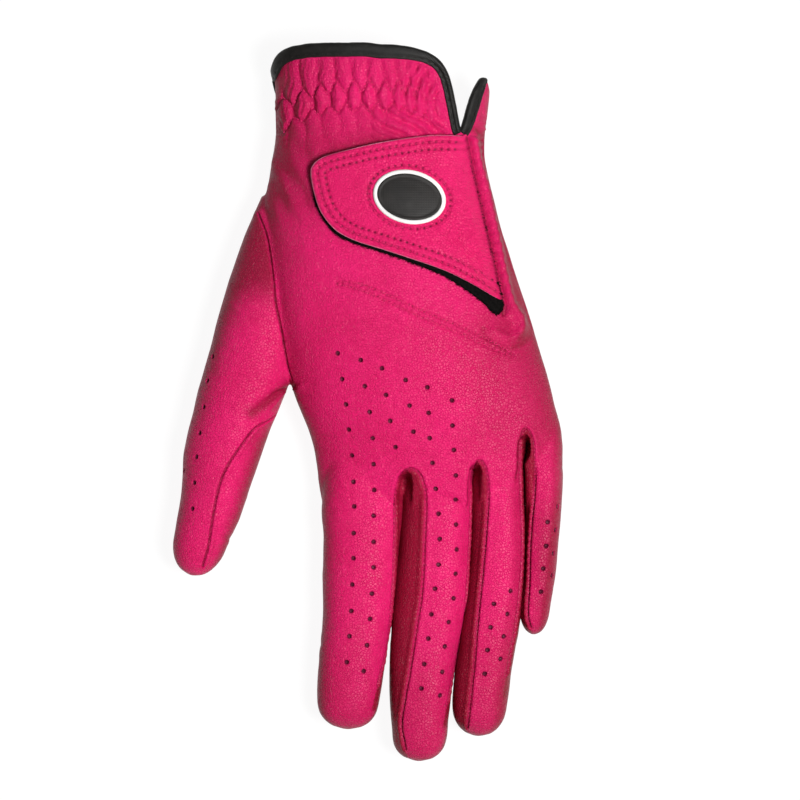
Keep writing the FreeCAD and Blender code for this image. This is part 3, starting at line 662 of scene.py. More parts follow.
# Gathered wrist: two zigzag rows of stitches with puffs between them and pleats above.
x, y = P[:, 0], P[:, 1]
xw = x + 1.3 * n_mid + 0.10 * (y - 94)
du = y - np.interp(x, UPPER_ZIG[:, 0], UPPER_ZIG[:, 1])
dl = y - np.interp(x, LOWER_ZIG[:, 0], LOWER_ZIG[:, 1])
f = cell(xw) % 1.0
puff = np.sin(np.pi * f) ** 0.7
pleat = np.abs(np.cos(np.pi * f)) ** 0.8
wrist = dorsal * ramp(y, 60.0, 66.0)
calm = 0.7 + 0.3 * ramp(-x, -14.0, -5.0)
between = ramp(dl, -0.1, 1.3) * ramp(-du, -0.1, 1.3)
above = ramp(du, 0.0, 1.5)
below = ramp(-dl, 0.0, 1.5) * ramp(dl, -12.0, -1.0)
relief(wrist * calm * (1.5 * (puff - 0.5) * between
                       + 1.0 * (pleat - 0.55) * above * (1 - 0.35 * ramp(du, 3, 10))
                       + 0.55 * (pleat - 0.5) * below))
flat_x = ramp(-x, -21.0, -16.0)
relief(wrist * flat_x * (-0.55 * bell(du, 0.6) - 0.55 * bell(dl, 0.6)),
       wrist * flat_x * 0.28 * np.maximum(bell(du, 0.5), bell(dl, 0.5)))
stripes = ripple(xw, 1.55, 5.0 * n_mid) + 0.6 * ripple(xw, 0.97, 7 * n_mid)
relief(wrist * 0.15 * stripes * (between + 0.8 * above))
# Wrinkles that run down to the right from the stitched rows, and fine ones near the vent.
cross = x * 0.50 + y * 0.86
sheaf = ripple(cross, 3.1, 3.2 * n_mid + 1.0) + 0.5 * ripple(cross, 1.7, 4.0 * n_mid)
zone = ramp(x, -4.0, 8.0) * ramp(-x, -31.0, -26.0) * ramp(y, 78.0, 82.0) * ramp(-dl, -2.0, 1.5)
relief(dorsal * (0.85 * np.clip(sheaf, -0.6, 1.5) + 0.1) * zone)
sheaf = ripple(x * 0.85 - y * 0.35, 2.9, 3.5 * n_mid)
relief(dorsal * 0.5 * sheaf * ramp(x, 9.0, 15.0) * ramp(y, 90.0, 96.0))
sheaf = ripple(y * 0.9 + x * 0.3, 2.1, 3 * n_mid)
relief(dorsal * 0.3 * sheaf * ramp(x, 29.5, 31.0) * ramp(y, 74.0, 80.0))
# Folds from the cuff towards the thumb, and soft creases over the hand.
zone = ramp(-x, 2.0, 14.0) * ramp(y, 52.0, 62.0) * ramp(-y, -86.0, -76.0)
relief(dorsal * 0.22 * ripple(x * 0.92 + y * 0.38, 6.5, 2.2 * n_mid + 2.0 * n_big) * zone)
thumb_side = ramp(np.interp(y, THUMB_SEAM[::-1, 1], THUMB_SEAM[::-1, 0]) - x, 0.5, 4.0)
zone = thumb_side * ramp(y, -30.0, 8.0) * ramp(-y, -52, -40)
relief(dorsal * 0.10 * ripple(x * 0.45 + y * 0.90 + 3.0 * n_mid, 4.3, 6.0 * n_big)
       * np.clip(0.3 + 2.0 * n_mid, 0, 1) * zone)

# Soft cross creases where the fingers bend.
for name, data in FINGERS.items():
    for centre, amount in ((data["mid"], 0.26), (data["mid"] * 1.75, 0.16), (0.0, 0.12)):
        q = along - centre + 3.3 * n_mid
        crease = bell(q - 2.0, 1.7) - bell(q, 1.3) * 0.9 + bell(q + 2.6, 1.7)
        relief(of_finger(name) * amount * crease * np.clip(0.4 + n_big * 2, 0, 1))

# ------------------------------------------------------------------ perforations
HOLES = [
    ([(-9.5, 15.0), (-6.1, -8.1), (-4.6, -25.0), (-4.9, -50.7), (-6.7, -80.4)], 13),
    ([(-2.4, 12.6), (1.2, -11.9), (1.6, -38.0), (0.9, -62.5), (-1.7, -83.2)], 13),
    ([(4.1, 10.1), (8.1, -14.1)], 4), ([(11.2, 6.7), (13.7, -9.3)], 3),
    ([(17.9, 4.2), (19.6, -19.4), (22.1, -43.2), (19.2, -67.7), (16.2, -88.8)], 13),
    ([(25.5, 0.2), (27.0, -31.2), (27.0, -56.0), (24.3, -70.2), (22.0, -91.0)], 13),
    ([(38.5, -62.6), (36.0, -83.9)], 4), ([(44.1, -58.4), (41.0, -79.5)], 4),
    ([(55.6, -37.4), (53.4, -58.7)], 4), ([(58.4, -32.7), (56.9, -53.8)], 4),
    ([(-48.4, 14.1), (-52.3, -9.1), (-54.2, -25.6), (-54.5, -33.0)], 7),
    ([(-57.2, -21.5), (-57.3, -22.0)], 1),
]
hole_points = []
for points, count in HOLES:
    line = curve(points, 0.1)
    for k in range(count):
        q = line[int(round((len(line) - 1) * k / max(count - 1, 1)))]
        hole_points.append((q[0] + random.uniform(-0.2, 0.2), q[1] + random.uniform(-0.2, 0.2)))

# The leather lies calm where the tapes will grip it.
rim_gap = np.min([np.abs(to_line(P, line)[0]) for line in (CUFF, LOBE, LOBE_OUT)], axis=0)
disp *= 1 - 0.92 * ramp(-rim_gap, -5.2, -3.6) * (P[:, 1] > 82)
P = P + N * disp[:, None]
P[:, 2] = np.maximum(P[:, 2], 0.06)

# ------------------------------------------------------------------ cut, refine, split
outline = np.concatenate([[(-90, 97.2)], CUFF, LOBE, LOBE_OUT, [(90, 90.0), (90, -200), (-90, -200)]])


def in_polygon(xy, poly):
    inside = np.zeros(len(xy), bool)
    for (xi, yi), (xj, yj) in zip(poly, np.roll(poly, 1, 0)):
        inside ^= ((yi > xy[:, 1]) != (yj > xy[:, 1])) & (
            xy[:, 0] < (xj - xi) * (xy[:, 1] - yi) / ((yj - yi) if yj != yi else 1e-9) + xi)
    return inside


# The back is cut along the cuff and the vent, the palm lower, and the side walls on a slant.
BACK_FROM, WALL_TO = 7.5, 13.0
centre = P[four(quads)].mean(1)
cx, cy, cz = centre.T
palm_limit = np.interp(cx, PALM_EDGE[:, 0], PALM_EDGE[:, 1])
wall_top = np.where(cx < 0, 105.0, 99.6)
rise = np.where(cx < 0, ramp(cz, 3.0, 13.0), ramp(cz, 3.0, 12.0))
on_wall = ((cx < -21.0) | (cx > 30.5)) & (cz < WALL_TO)
is_back = cz > BACK_FROM
drop = ((is_back & ~in_polygon(centre[:, :2], outline))
        | (~is_back & ~on_wall & (cy > palm_limit))
        | (on_wall & (cy > palm_limit + (wall_top - palm_limit) * rise)))

FIELDS = ["wall", "dark", "pit"]
bm = bmesh.new()
layers = {n: bm.verts.layers.float.new(n) for n in FIELDS}
bm_verts = [bm.verts.new(p) for p in P]
for v, w_value, d_value in zip(bm_verts, wall, dark):
    v[layers["wall"]] = float(w_value)
    v[layers["dark"]] = float(d_value)
for q, gone in zip(quads, drop):
    if not gone:
        bm.faces.new([bm_verts[i] for i in q])
bmesh.ops.delete(bm, geom=[v for v in bm.verts if not v.link_faces], context="VERTS")

# The cut edge is relaxed along itself, so that it runs clean.
bm.verts.index_update()
rim = {}
for e in bm.edges:
    if e.is_boundary:
        v0, v1 = e.verts
        rim.setdefault(v0, []).append(v1)
        rim.setdefault(v1, []).append(v0)
rim = {v: n for v, n in rim.items() if len(n) == 2}
inner = {}
for v in rim:
    for e in v.link_edges:
        w = e.other_vert(v)
        if w not in rim:
            inner[w] = [f.other_vert(w) for f in w.link_edges]
for rounds, beside_of in ((9, rim), (3, inner)):
    for _ in range(rounds):
        moved = {v: v.co.lerp(sum((w.co for w in n), Vector((0, 0, 0))) / len(n), 0.5)
                 for v, n in beside_of.items()}
        for v, co in moved.items():
            v.co = co
bm.normal_update()

# Walk the cut edge in order, for the bindings.
start = max(rim, key=lambda v: v.co.y)
walked = [start]
previous, current = None, start
while True:
    options = [w for w in rim[current] if w is not previous and w in rim]
    if not options:
        break
    previous, current = current, options[0]
    if current is start or len(walked) > len(rim):
        break
    walked.append(current)
LOOP_P = np.array([v.co for v in walked])
LOOP_N = np.array([v.normal for v in walked])

# Finer faces round each perforation, then a punched pit.
# Radius, depth and softness of the edge, in millimetres.
HOLE_R, HOLE_DEEP, HOLE_SOFT = 0.62, 0.75, 0.085
tree = BVHTree.FromBMesh(bm)
hits = [tree.ray_cast(Vector((hx, hy, ABOVE)), DOWN) for hx, hy in hole_points]
hole_3d = [(np.array(hit[0]), hit[1].copy()) for hit in hits if hit[0] is not None]
for reach in ((1.5, 1.15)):
    bm.verts.ensure_lookup_table()
    points = np.array([v.co for v in bm.verts])
    pick = np.zeros(len(points), bool)
    for c, n in hole_3d:
        pick |= np.linalg.norm(points - c, axis=1) < reach
    chosen = [e for e in bm.edges if pick[e.verts[0].index] and pick[e.verts[1].index]]
    bmesh.ops.subdivide_edges(bm, edges=chosen, cuts=1, use_grid_fill=True)
bm.verts.ensure_lookup_table()
bm.normal_update()
points = np.array([v.co for v in bm.verts])
# Each pit is sunk, and its depth kept so that the leather is painted dark there, as the shade inside the
# hole.
for c, n in hole_3d:
    d = points - c
    h = d @ np.array(n)
    r = np.linalg.norm(d - np.outer(h, np.array(n)), axis=1)
    for i in np.where((r < 1.3) & (np.abs(h) < 2.0))[0]:
        v = bm.verts[int(i)]
        depth = 1.0 / (1.0 + math.exp((r[i] - HOLE_R) / HOLE_SOFT))
        v.co = v.co - Vector(n) * (HOLE_DEEP * depth - 0.05 * math.exp(-((r[i] - 0.85) / 0.22) ** 2))
        v[layers["pit"]] = max(v[layers["pit"]], float(depth))
bm.normal_update()
skin_tree = BVHTree.FromBMesh(bm)

# Split into the hand and two lengths of each finger and the thumb.
bm.faces.ensure_lookup_table()
face_centres = np.array([f.calc_center_median() for f in bm.faces])
f_which, f_along, f_rho = finger_fields(face_centres, False)
group = np.zeros(len(face_centres), int)
piece_names = ["hand_skin"]
for i, (name, data) in enumerate(FINGERS.items()):
    own = (f_which == i) & (f_rho < 1.6)
    group[own & (f_along > data["zone"][0])] = 1 + 2 * i
    group[own & (f_along > data["mid"] / 2)] = 2 + 2 * i
    piece_names += [name + "_lower_skin", name + "_upper_skin"]
bm.verts.index_update()
vertex_list = list(bm.verts)
coordinates = np.array([v.co for v in vertex_list])
vertex_normals = np.array([v.normal for v in vertex_list])
values = {n: np.array([v[layers[n]] for v in vertex_list]) for n in FIELDS}
face_lists = [[v.index for v in f.verts] for f in bm.faces]
bm.free()


def store(obj, **fields):
    """Per-point values a material reads."""
    for key, value in fields.items():
        value = np.asarray(value, np.float32)
        kind, slot = ("FLOAT_VECTOR", "vector") if value.ndim == 2 else ("FLOAT", "value")
        obj.data.attributes.new(key, kind, "POINT").data.foreach_set(slot, value.ravel())


SKINS, NORMALS = {}, {}
for g, piece in enumerate(piece_names):
    obj, used = part_mesh(piece, coordinates, [face_lists[i] for i in np.where(group == g)[0]])
    store(obj, **{n: values[n][used] for n in FIELDS}, rest=coordinates[used] * MM)
    SKINS[piece], NORMALS[piece] = obj, vertex_normals[used]
    obj.data.normals_split_custom_set_from_vertices([tuple(n) for n in NORMALS[piece]])


# ------------------------------------------------------------------ materials
def linear(r, g, b):
    out = []
    for c in (r, g, b):
        c /= 255.0
        out.append(c / 12.92 if c <= 0.04045 else ((c + 0.055) / 1.055) ** 2.4)
    return (*out, 1.0)


class Nodes:
    """A short way to write a node material."""

    def __init__(self, name, place="Object"):
        self.material = bpy.data.materials.new(name)
        self.material.use_nodes = True
        self.tree = self.material.node_tree
        self.bsdf = self.tree.nodes["Principled BSDF"]
        if place == "Object":
            self.where = self.node("TexCoord").outputs["Object"]
        else:
            self.where = self.attribute(place, "Vector")

    def put(self, socket, value):
        """Link a socket, or set a plain value."""
        if isinstance(value, bpy.types.NodeSocket):
            self.tree.links.new(value, socket)
        else:
            socket.default_value = value

    def node(self, kind, **sets):
        n = self.tree.nodes.new("ShaderNode" + kind)
        for key, value in sets.items():
            if key.startswith("_"):
                setattr(n, key[1:], value)
            else:
                self.put(n.inputs[int(key[2:]) if key[2:].isdigit() else key.replace("_", " ")], value)
        return n

    def texture(self, kind, scale, where=None, **sets):
        where = self.where if where is None else where
        return self.node("Tex" + kind, Vector=where, Scale=scale, **sets).outputs[
            "Distance" if kind == "Voronoi" else "Fac"]

    def noise(self, scale, detail, roughness=0.5, **sets):
        return self.texture("Noise", scale, Detail=detail, Roughness=roughness, **sets)

    def turned(self, angle, scale=(1.0, 1.0, 1.0)):
        return self.node("Mapping", Vector=self.where, Rotation=(0.0, 0.0, angle), Scale=scale).outputs[0]

    def math(self, op, a, b, clamp=False):
        return self.node("Math", _operation=op, _use_clamp=clamp, in0=a, in1=b).outputs[0]

    def times(self, a, b, clamp=False):
        return self.math("MULTIPLY", a, b, clamp)

    def mix(self, fac, a, b):
        return self.node("Mix", _data_type="RGBA", in0=fac, in6=a, in7=b).outputs[2]

    def attribute(self, name, output="Fac"):
        return self.node("Attribute", _attribute_name=name).outputs[output]

    def span(self, value, lo, hi, to_lo=0.0, to_hi=1.0):
        return self.node("MapRange", in0=value, in1=lo, in2=hi, in3=to_lo, in4=to_hi).outputs[0]

    def finish(self, heights=(), **sets):
        """Set the shader's sockets and chain bumps of (height, depth in millimetres)."""
        for key, value in sets.items():
            self.put(self.bsdf.inputs[key.replace("_", " ")], value)
        last = None
        for value, depth in heights:
            n = self.node("Bump", Height=value, Distance=depth * MM, Strength=1.0)
            if last is not None:
                self.put(n.inputs["Normal"], last)
            last = n.outputs["Normal"]
        if last is not None:
            self.put(self.bsdf.inputs["Normal"], last)
        return self.material


def leather(name, light, deep, grain):
    """Glove leather: fine pebble grain, soft creases, uneven dye and darker seams, with painted shade over
    the side walls (partly their own deeper tone), in folds and holes, and wherever the shade values ask.
    """
    m = Nodes(name, "rest")
    blotch, mottle, speck = m.noise(38.0, 3.0, 0.55), m.noise(420.0, 4.0, 0.65), m.noise(1900.0, 2.0, 0.6)
    tone = m.math("ADD", m.math("ADD", m.times(blotch, 0.55), m.times(mottle, 0.35)), m.times(speck, 0.22))
    colour = m.mix(m.span(tone, 0.38, 0.76), deep, light)
    # Over the leather's own tones: side walls darker (partly their own tone, partly painted shade), painted
    # shade, stitch marks with painted shade in folds, painted shade inside holes, and the paler cut edge.
    for amount, over in ((m.times(m.attribute("wall"), 0.85), linear(140, 9, 33)),
                         (m.attribute("shade"), linear(126, 10, 34)),
                         (m.times(m.attribute("dark"), 0.72, True), linear(92, 5, 26)),
                         (m.math("MINIMUM", m.times(m.attribute("pit"), 1.2), 0.9), linear(62, 20, 38)),
                         (m.attribute("cut"), linear(226, 150, 178))):
        colour = m.mix(amount, colour, over)
    warp = m.node("TexNoise", Vector=m.where, Scale=700.0, Detail=2.0).outputs["Color"]
    warped = m.node("VectorMath", _operation="MULTIPLY_ADD", in0=warp, in1=(0.0006, 0.0006, 0.0006),
                    in2=m.where).outputs[0]
    pebble = m.span(m.texture("Voronoi", 1250.0, warped, _feature="DISTANCE_TO_EDGE"), 0.0, 0.16)
    crease = m.noise(260.0, 5.0, 0.7, where=m.turned(0.5, (1.0, 1.7, 1.3)), Distortion=0.6)
    return m.finish([(crease, 0.20 * grain), (pebble, 0.15 * grain), (mottle, 0.24 * grain),
                     (speck, 0.09 * grain)], Base_Color=colour, Specular_IOR_Level=0.20,
                    Roughness=m.span(mottle, 0.25, 0.75, 0.36, 0.54))


def plain(name, low, high, noise_at, span, relief_of, **sets):
    """Two close tones in a noise, with a fine relief of their own."""
    m = Nodes(name)
    n = m.noise(*noise_at)
    colour = m.mix(m.span(n, *span) if span else n, low, high)
    return m.finish(relief_of(m, n), Base_Color=colour, **sets)


def thread_material(name, low, high):
    return plain(name, low, high, (2400.0, 3.0), (0.3, 0.7),
                 lambda m, n: [(m.texture("Wave", 900.0, m.turned(0.7), Distortion=2.0, Detail=1.0), 0.08),
                               (n, 0.05)], Roughness=0.55, Specular_IOR_Level=0.2)


def moulded_material(name, low, high, roughness):
    """Soft moulded emblem plastic with a fine linen texture."""
    def linen(m, n):
        both = [m.texture("Wave", 420.0, _bands_direction=way) for way in "XY"]
        return [(m.times(*both), 0.035), (n, 0.05)]
    return plain(name, low, high, (160.0, 4.0, 0.6), (0.3, 0.7), linen,
                 Roughness=roughness, Specular_IOR_Level=0.25)


def tape_material():
    """Black binding tape: a fine diagonal weave with worn, paler high spots."""
    m = Nodes("black_binding")
    wear_and_painted_shade = m.noise(520.0, 4.0, 0.7)
    mixed = m.math("ADD", m.times(wear_and_painted_shade, 0.7), m.times(m.noise(60.0, 2.0), 0.3))
    weave = [m.texture("Wave", 620.0, m.turned(angle), Distortion=0.6) for angle in (0.785, -0.785)]
    return m.finish([(wear_and_painted_shade, 0.14), (m.times(*weave), 0.06)], Roughness=0.48, Specular_IOR_Level=0.22,
                    Base_Color=m.mix(m.span(mixed, 0.35, 0.7), linear(12, 11, 10), linear(34, 32, 30)))


M_LEATHER = leather("pink_leather", linear(232, 27, 110), linear(205, 19, 88), 0.8)
M_TAB = leather("tab_leather", linear(240, 30, 112), linear(215, 22, 92), 0.95)
M_THREAD = thread_material("pink_thread", linear(196, 22, 82), linear(242, 52, 126))
M_BLACK_THREAD = thread_material("black_thread", linear(16, 14, 14), linear(44, 40, 38))
M_TAPE = tape_material()
M_PILE = plain("black_pile", linear(4, 4, 4), linear(22, 20, 19), (1500.0, 4.0, 0.7), (0.35, 0.7),
               lambda m, n: [(n, 0.4)], Roughness=0.95, Specular_IOR_Level=0.08)
M_BADGE = moulded_material("badge_black", linear(26, 24, 23), linear(40, 37, 35), 0.55)
M_RIM = moulded_material("badge_white", linear(226, 224, 222), linear(246, 245, 243), 0.45)
M_ELASTIC = plain("elastic_webbing", linear(214, 210, 206), linear(236, 234, 230), (900.0, 3.0), None,
                  lambda m, n: [(m.texture("Wave", 260.0, _bands_direction="X"), 0.3), (n, 0.06)],
                  Roughness=0.8)
# The napped back of the leather.
M_LINING = plain("leather_back", linear(196, 60, 104), linear(222, 92, 134), (900.0, 5.0, 0.7), (0.3, 0.7),
                 lambda m, n: [(n, 0.25)], Roughness=0.95, Sheen_Weight=0.3)


def paint(obj, material):
    obj.data.materials.clear()
    obj.data.materials.append(material)
    return obj


# ------------------------------------------------------------------ threads
def surface_point(xy, up=0.0, tree=None):
    z, n = height(xy[0], xy[1], tree or skin_tree)
    return np.array([xy[0], xy[1], z]) + np.array(n) * up


# Where along a thread its rings stand, and how thick they are.
THREAD_FORM = [(0.0, 0.25), (0.12, 0.8), (0.35, 1.0), (0.65, 1.0), (0.88, 0.8), (1.0, 0.25)]
THREAD_SIDES = 6


def fibre_frame(d, other):
    """Two unit directions across a fibre."""
    side = np.cross(d, other)
    side /= max(np.linalg.norm(side), 1e-9)
    return side, np.cross(side, d)


def capsules(name, stitches, radius):
    """Short curved threads, each through three points with a normal."""
    verts, faces = [], []
    for a, m, b, n in stitches:
        a, m, b, n = (np.array(v, float) for v in (a, m, b, n))
        faces += loft_faces(len(THREAD_FORM), THREAD_SIDES, len(verts))
        d = (b - a) / max(np.linalg.norm(b - a), 1e-9)
        side, up = fibre_frame(d, n)
        for t, size in THREAD_FORM:
            p = (1 - t) ** 2 * a + 2 * t * (1 - t) * (2 * m - 0.5 * (a + b)) + t * t * b
            for k in range(THREAD_SIDES):
                w = 2 * math.pi * k / THREAD_SIDES
                verts.append(p + size * radius * (math.cos(w) * side + math.sin(w) * up))
    return new_mesh(name, verts, faces)


def stitch_row(line, pitch, length, up, sink, tree=None):
    """Stitches along a plan line, each dipping into the leather at both ends."""
    tree = tree or skin_tree
    run = running(line)
    out = []
    at = 0.3
    while at + length < run[-1]:
        a, m, b = (at_run(line, run, at + q * length) for q in (0, 0.5, 1))
        out.append((surface_point(a, sink, tree), surface_point(m, up, tree),
                    surface_point(b, sink, tree), height(m[0], m[1], tree)[1]))
        at += pitch
    return out


# ------------------------------------------------------------------ bindings
# Length and pitch of the tape's stitches, and how far their row is inside the tape's edge.
TAPE_STITCH, TAPE_PITCH, TAPE_ROW = 1.7, 2.5, 0.95


def binding(name, points, normals, width):
    """Tape folded over an edge: outside flap, rounded fold, inside flap."""
    run = running(points)
    at = np.linspace(0, run[-1], max(int(run[-1] / 0.55), 3))
    p = relaxed(at_run(points, run, at), 4)
    n = unit(relaxed(at_run(normals, run, at), 12))
    b = unit(np.cross(n, unit(np.gradient(p, axis=0))))
    middle = len(p) // 2
    probe, flip = (skin_tree.find_nearest(Vector(p[middle] + b[middle] * way)) for way in (1.5, -1.5))
    if flip[3] < probe[3]:
        b = -b
    b = unit(relaxed(b, 6))
    wide = [width(share) for share in at / at[-1]]
    rings = []
    for i, w in enumerate(wide):
        profile = [(w, -0.2), (w, 0.22), (w - 0.15, 0.40), (w - 0.5, 0.50), (w - TAPE_ROW, 0.34),
                   (w - 1.4, 0.55), (w * 0.45, 0.74), (0.35, 0.70), (-0.15, 0.52), (-0.46, 0.10),
                   (-0.52, -0.45), (-0.40, -1.0), (0.0, -1.38), (w * 0.5, -1.42), (w - 0.4, -1.32),
                   (w, -1.1), (w, -0.75)]
        wob = 0.10 * noise.noise(Vector(p[i] * 0.22)) + 0.06 * noise.noise(Vector(p[i] * 0.7))
        rings.append([p[i] + b[i] * (u + wob) + n[i] * (v + (wob * 0.6 if v > 0 else 0))
                      for u, v in profile])
    stitches = []
    start = 0.8
    while start + TAPE_STITCH < at[-1]:
        trio = []
        for q, up in ((0, 0.15), (0.5, 0.52), (1, 0.15)):
            i = min(int(np.searchsorted(at, start + q * TAPE_STITCH)), len(p) - 1)
            trio.append(p[i] + b[i] * (wide[i] - TAPE_ROW) + n[i] * up)
        stitches.append((*trio, n[i]))
        start += TAPE_PITCH
    return new_mesh(name, *loft(rings)), capsules(name + "_stitching", stitches, 0.17)


def nearest_index(point):
    low = LOOP_P[:, 2] < 8
    return int(np.argmin(np.linalg.norm(LOOP_P[:, :2] - np.array(point), axis=1) + 0.6 * low))


def both_ways(i, j):
    """The cut edge from i to j, walked forwards and backwards."""
    n = len(LOOP_P)
    return ([(i + k) % n for k in range((j - i) % n + 1)],
            [(i - k) % n for k in range((i - j) % n + 1)])


def arc(i, j, through):
    """Part of the cut edge from i to j that passes near a plan point."""
    forward, backward = both_ways(i, j)
    return forward if nearest_index(through) in forward else backward


vertex_point = nearest_index((28.3, 82.6))
left_end = nearest_index((-28.6, 99.5))
lobe_tip = nearest_index((36.2, 99.6))
cuff_path = arc(left_end, vertex_point, (-2.0, 110.8))
lobe_path = arc(vertex_point, lobe_tip, (31.4, 92.0))
untaped = sorted(set(range(len(LOOP_P))) - set(cuff_path) - set(lobe_path))
forward, backward = both_ways(lobe_tip, left_end)
palm_path = forward if untaped[len(untaped) // 2] in forward else backward
# The vent flap's side edge stays bare above the palm.
palm_path = [i for i in palm_path if not (LOOP_P[i, 0] > 30 and LOOP_P[i, 2] > 8.0)]
tapes = [binding(name, LOOP_P[path], LOOP_N[path], width) for name, path, width in (
    ("cuff_binding_tape", cuff_path, lambda q: 3.9 - 1.3 * ramp(q, 0.55, 0.8)),
    ("vent_binding_tape", lobe_path, lambda q: 2.6 + 0.9 * math.sin(math.pi * min(q * 1.1, 1.0))),
    ("palm_binding_tape", palm_path, lambda q: 1.6 + 2.0 * ramp(q, 0.05, 0.30)))]
for (tape, thread), node in zip(tapes, ("cuff_binding", "vent_binding", "palm_binding")):
    paint(tape, M_TAPE)
    paint(thread, M_BLACK_THREAD)
    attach(tape, "hand")
    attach(thread, "hand")
    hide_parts(node)

# ------------------------------------------------------------------ closure tab
BADGE = np.array([12.6, 62.8])
BADGE_TURN = math.radians(-12)
BADGE_R = np.array([10.4, 7.4])
TOP_EDGE = curve([(-17.7, 69.3), (-17.3, 72.3), (-13.8, 75.2), (-5.0, 77.6), (4.1, 79.6), (18.4, 81.7),
                  (28.6, 81.9)], 0.2)
LOW_EDGE = curve([(41.4, 31.1), (38.0, 32.6), (31.0, 36.6), (23.0, 40.4), (13.0, 43.9), (4.1, 46.8),
                  (-3.0, 49.0), (-8.0, 51.3), (-11.4, 54.0), (-14.6, 58.4), (-16.5, 63.6),
                  (-17.7, 69.3)], 0.2)
FOLD_SIDE = curve([(28.6, 81.9), (31.0, 80.6), (34.9, 60.9), (41.7, 32.4), (41.4, 31.1)], 0.2)
free_edge = np.concatenate([LOW_EDGE, TOP_EDGE[1:]])
# Rows of stitches inside the free edge, the ring round the badge, and the gap over the hand.
ROW_GAPS, ROW_PITCH, RING_GAP = (2.0, 4.3), 2.05, 2.35
OVER_HAND, OVER_FOLD, TAB_THICK = 2.9, 2.3, 0.95


def tab_up(xy):
    """Height of the tab's top face over a plan point."""
    z, n = height(float(xy[0]), float(xy[1]))
    to_fold = (xy[0] - 30.3) + (xy[1] - 81.3) * 0.226
    return z + (OVER_HAND - OVER_FOLD * ramp(to_fold, -4.5, 0.8)) / max(n.z, 0.55)


def turned(q, angle):
    """Plan offsets turned by an angle."""
    ca, sa = math.cos(angle), math.sin(angle)
    return np.stack([q[..., 0] * ca - q[..., 1] * sa, q[..., 0] * sa + q[..., 1] * ca], -1)


def oval_point(w, gap):
    """A point round the badge, a gap outside its oval."""
    return BADGE + turned(np.array([math.cos(w), math.sin(w)]) * (BADGE_R + gap), BADGE_TURN)


# Rings of points from the badge's centre to its oval, then out to the tab's edge, closer
# together near the badge (NEAR) and near the stitched edge (FAR).
COUNT, NEAR, FAR, MIDDLE = 760, 12, 24, 12
loop_xy = np.concatenate([TOP_EDGE, FOLD_SIDE[1:], LOW_EDGE[1:-1], TOP_EDGE[:1]])
loop_run = running(loop_xy)
edge_xy = at_run(loop_xy, loop_run, np.linspace(0, loop_run[-1], COUNT + 1)[:-1])
theta = np.arctan2(edge_xy[:, 1] - BADGE[1], edge_xy[:, 0] - BADGE[0]) - BADGE_TURN
reach = 1.0 / np.sqrt((np.cos(theta) / BADGE_R[0]) ** 2 + (np.sin(theta) / BADGE_R[1]) ** 2)
theta += BADGE_TURN
oval_xy = BADGE + np.stack([np.cos(theta), np.sin(theta)], 1) * reach[:, None]
columns = []
for inner_point, ray in zip(oval_xy, edge_xy - oval_xy):
    span = np.linalg.norm(ray)
    if span < 9.6:
        steps = np.linspace(0, span, NEAR + FAR + MIDDLE)
    else:
        steps = np.concatenate([np.linspace(0, 3.1, NEAR), np.linspace(3.1, span - 6.4, MIDDLE + 2)[1:-1],
                                span - np.linspace(6.4, 0, FAR)])
    columns.append(inner_point + ray * (steps / span)[:, None])
plan = np.concatenate([[BADGE + (oval_xy - BADGE) * q for q in (0.04, 0.35, 0.7)],
                       np.array(columns).transpose(1, 0, 2)])
R = len(plan)
flat = plan.reshape(-1, 2)
base_z = np.array([tab_up(p) for p in flat])
edge_gap, edge_run = to_line(flat, free_edge, 12)
edge_gap = np.abs(edge_gap)
rel = turned(flat - BADGE, -BADGE_TURN) / BADGE_R
oval_gap = (np.sqrt(rel[:, 0] ** 2 + rel[:, 1] ** 2) - 1) * BADGE_R.sum() / 2
around = np.arctan2(rel[:, 1], rel[:, 0])
fold_gap = np.abs(to_line(flat, FOLD, 12)[0])
tab_n = rough(np.concatenate([flat, np.zeros((len(flat), 1))], 1), 0.16, 2.0)
wave = 0.5 + 0.5 * np.cos(edge_run * 2 * np.pi / ROW_PITCH)
lift = 0.22 * tab_n - 0.20 * bell(edge_gap - ROW_GAPS[0], 0.42) - 0.18 * bell(edge_gap - ROW_GAPS[1], 0.42)
lift += 0.10 * bell(edge_gap - 3.15, 0.7) * (0.4 + wave) + 0.10 * bell(edge_gap - 1.0, 0.6) * (0.5 + wave)
lift += 0.08 * bell(edge_gap - 5.4, 0.7) * (0.3 + wave) - 0.36 * np.clip(1 - edge_gap / 0.55, 0, 1) ** 2
lift += (-0.26 * bell(oval_gap - RING_GAP, 0.42) + 0.08 * bell(oval_gap - 1.5, 0.5)
         + 0.10 * bell(oval_gap - 3.2, 0.6) * (0.5 + 0.5 * np.cos(around * 38)))
lower = (ramp(-flat[:, 1], -60.0, -54.0) * ramp(flat[:, 1], 36.0, 44.0) * ramp(flat[:, 0], 4.0, 14.0)
         * ramp(edge_gap, 4.5, 7.0))
lift += 0.075 * lower * ripple(flat[:, 1], 1.35, 5.0 * tab_n + 2.0 * np.sin(flat[:, 0] * 0.5))


def inset(line, gap):
    """A line moved towards the badge and smoothed."""
    middle = len(line) // 2
    n = -left_of(line)
    if np.linalg.norm(line[middle] + n[middle] * gap - BADGE) > np.linalg.norm(line[middle] - BADGE):
        n = -n
    return relaxed(line + n * gap, 30)


ROWS = [inset(free_edge, gap) for gap in ROW_GAPS]
holes = [oval_point(w, RING_GAP) for w in np.linspace(0, 2 * np.pi, 37)[:-1]]
for row in ROWS:
    run = running(row)
    holes += list(at_run(row, run, np.arange(1.5, run[-1] - 1.0, ROW_PITCH)))
# Needle holes: sunk a little, and painted dark as the shade inside them.
pit = np.zeros(len(flat))
for hx, hy in holes:
    pit = np.maximum(pit, bell(np.hypot(flat[:, 0] - hx, flat[:, 1] - hy), 0.34))
lift -= 0.28 * pit
grid_z = base_z.reshape(R, COUNT)
outwards = unit(plan[-1] - BADGE)


def ring_of(xy, z):
    return np.concatenate([xy, z[:, None]], 1)


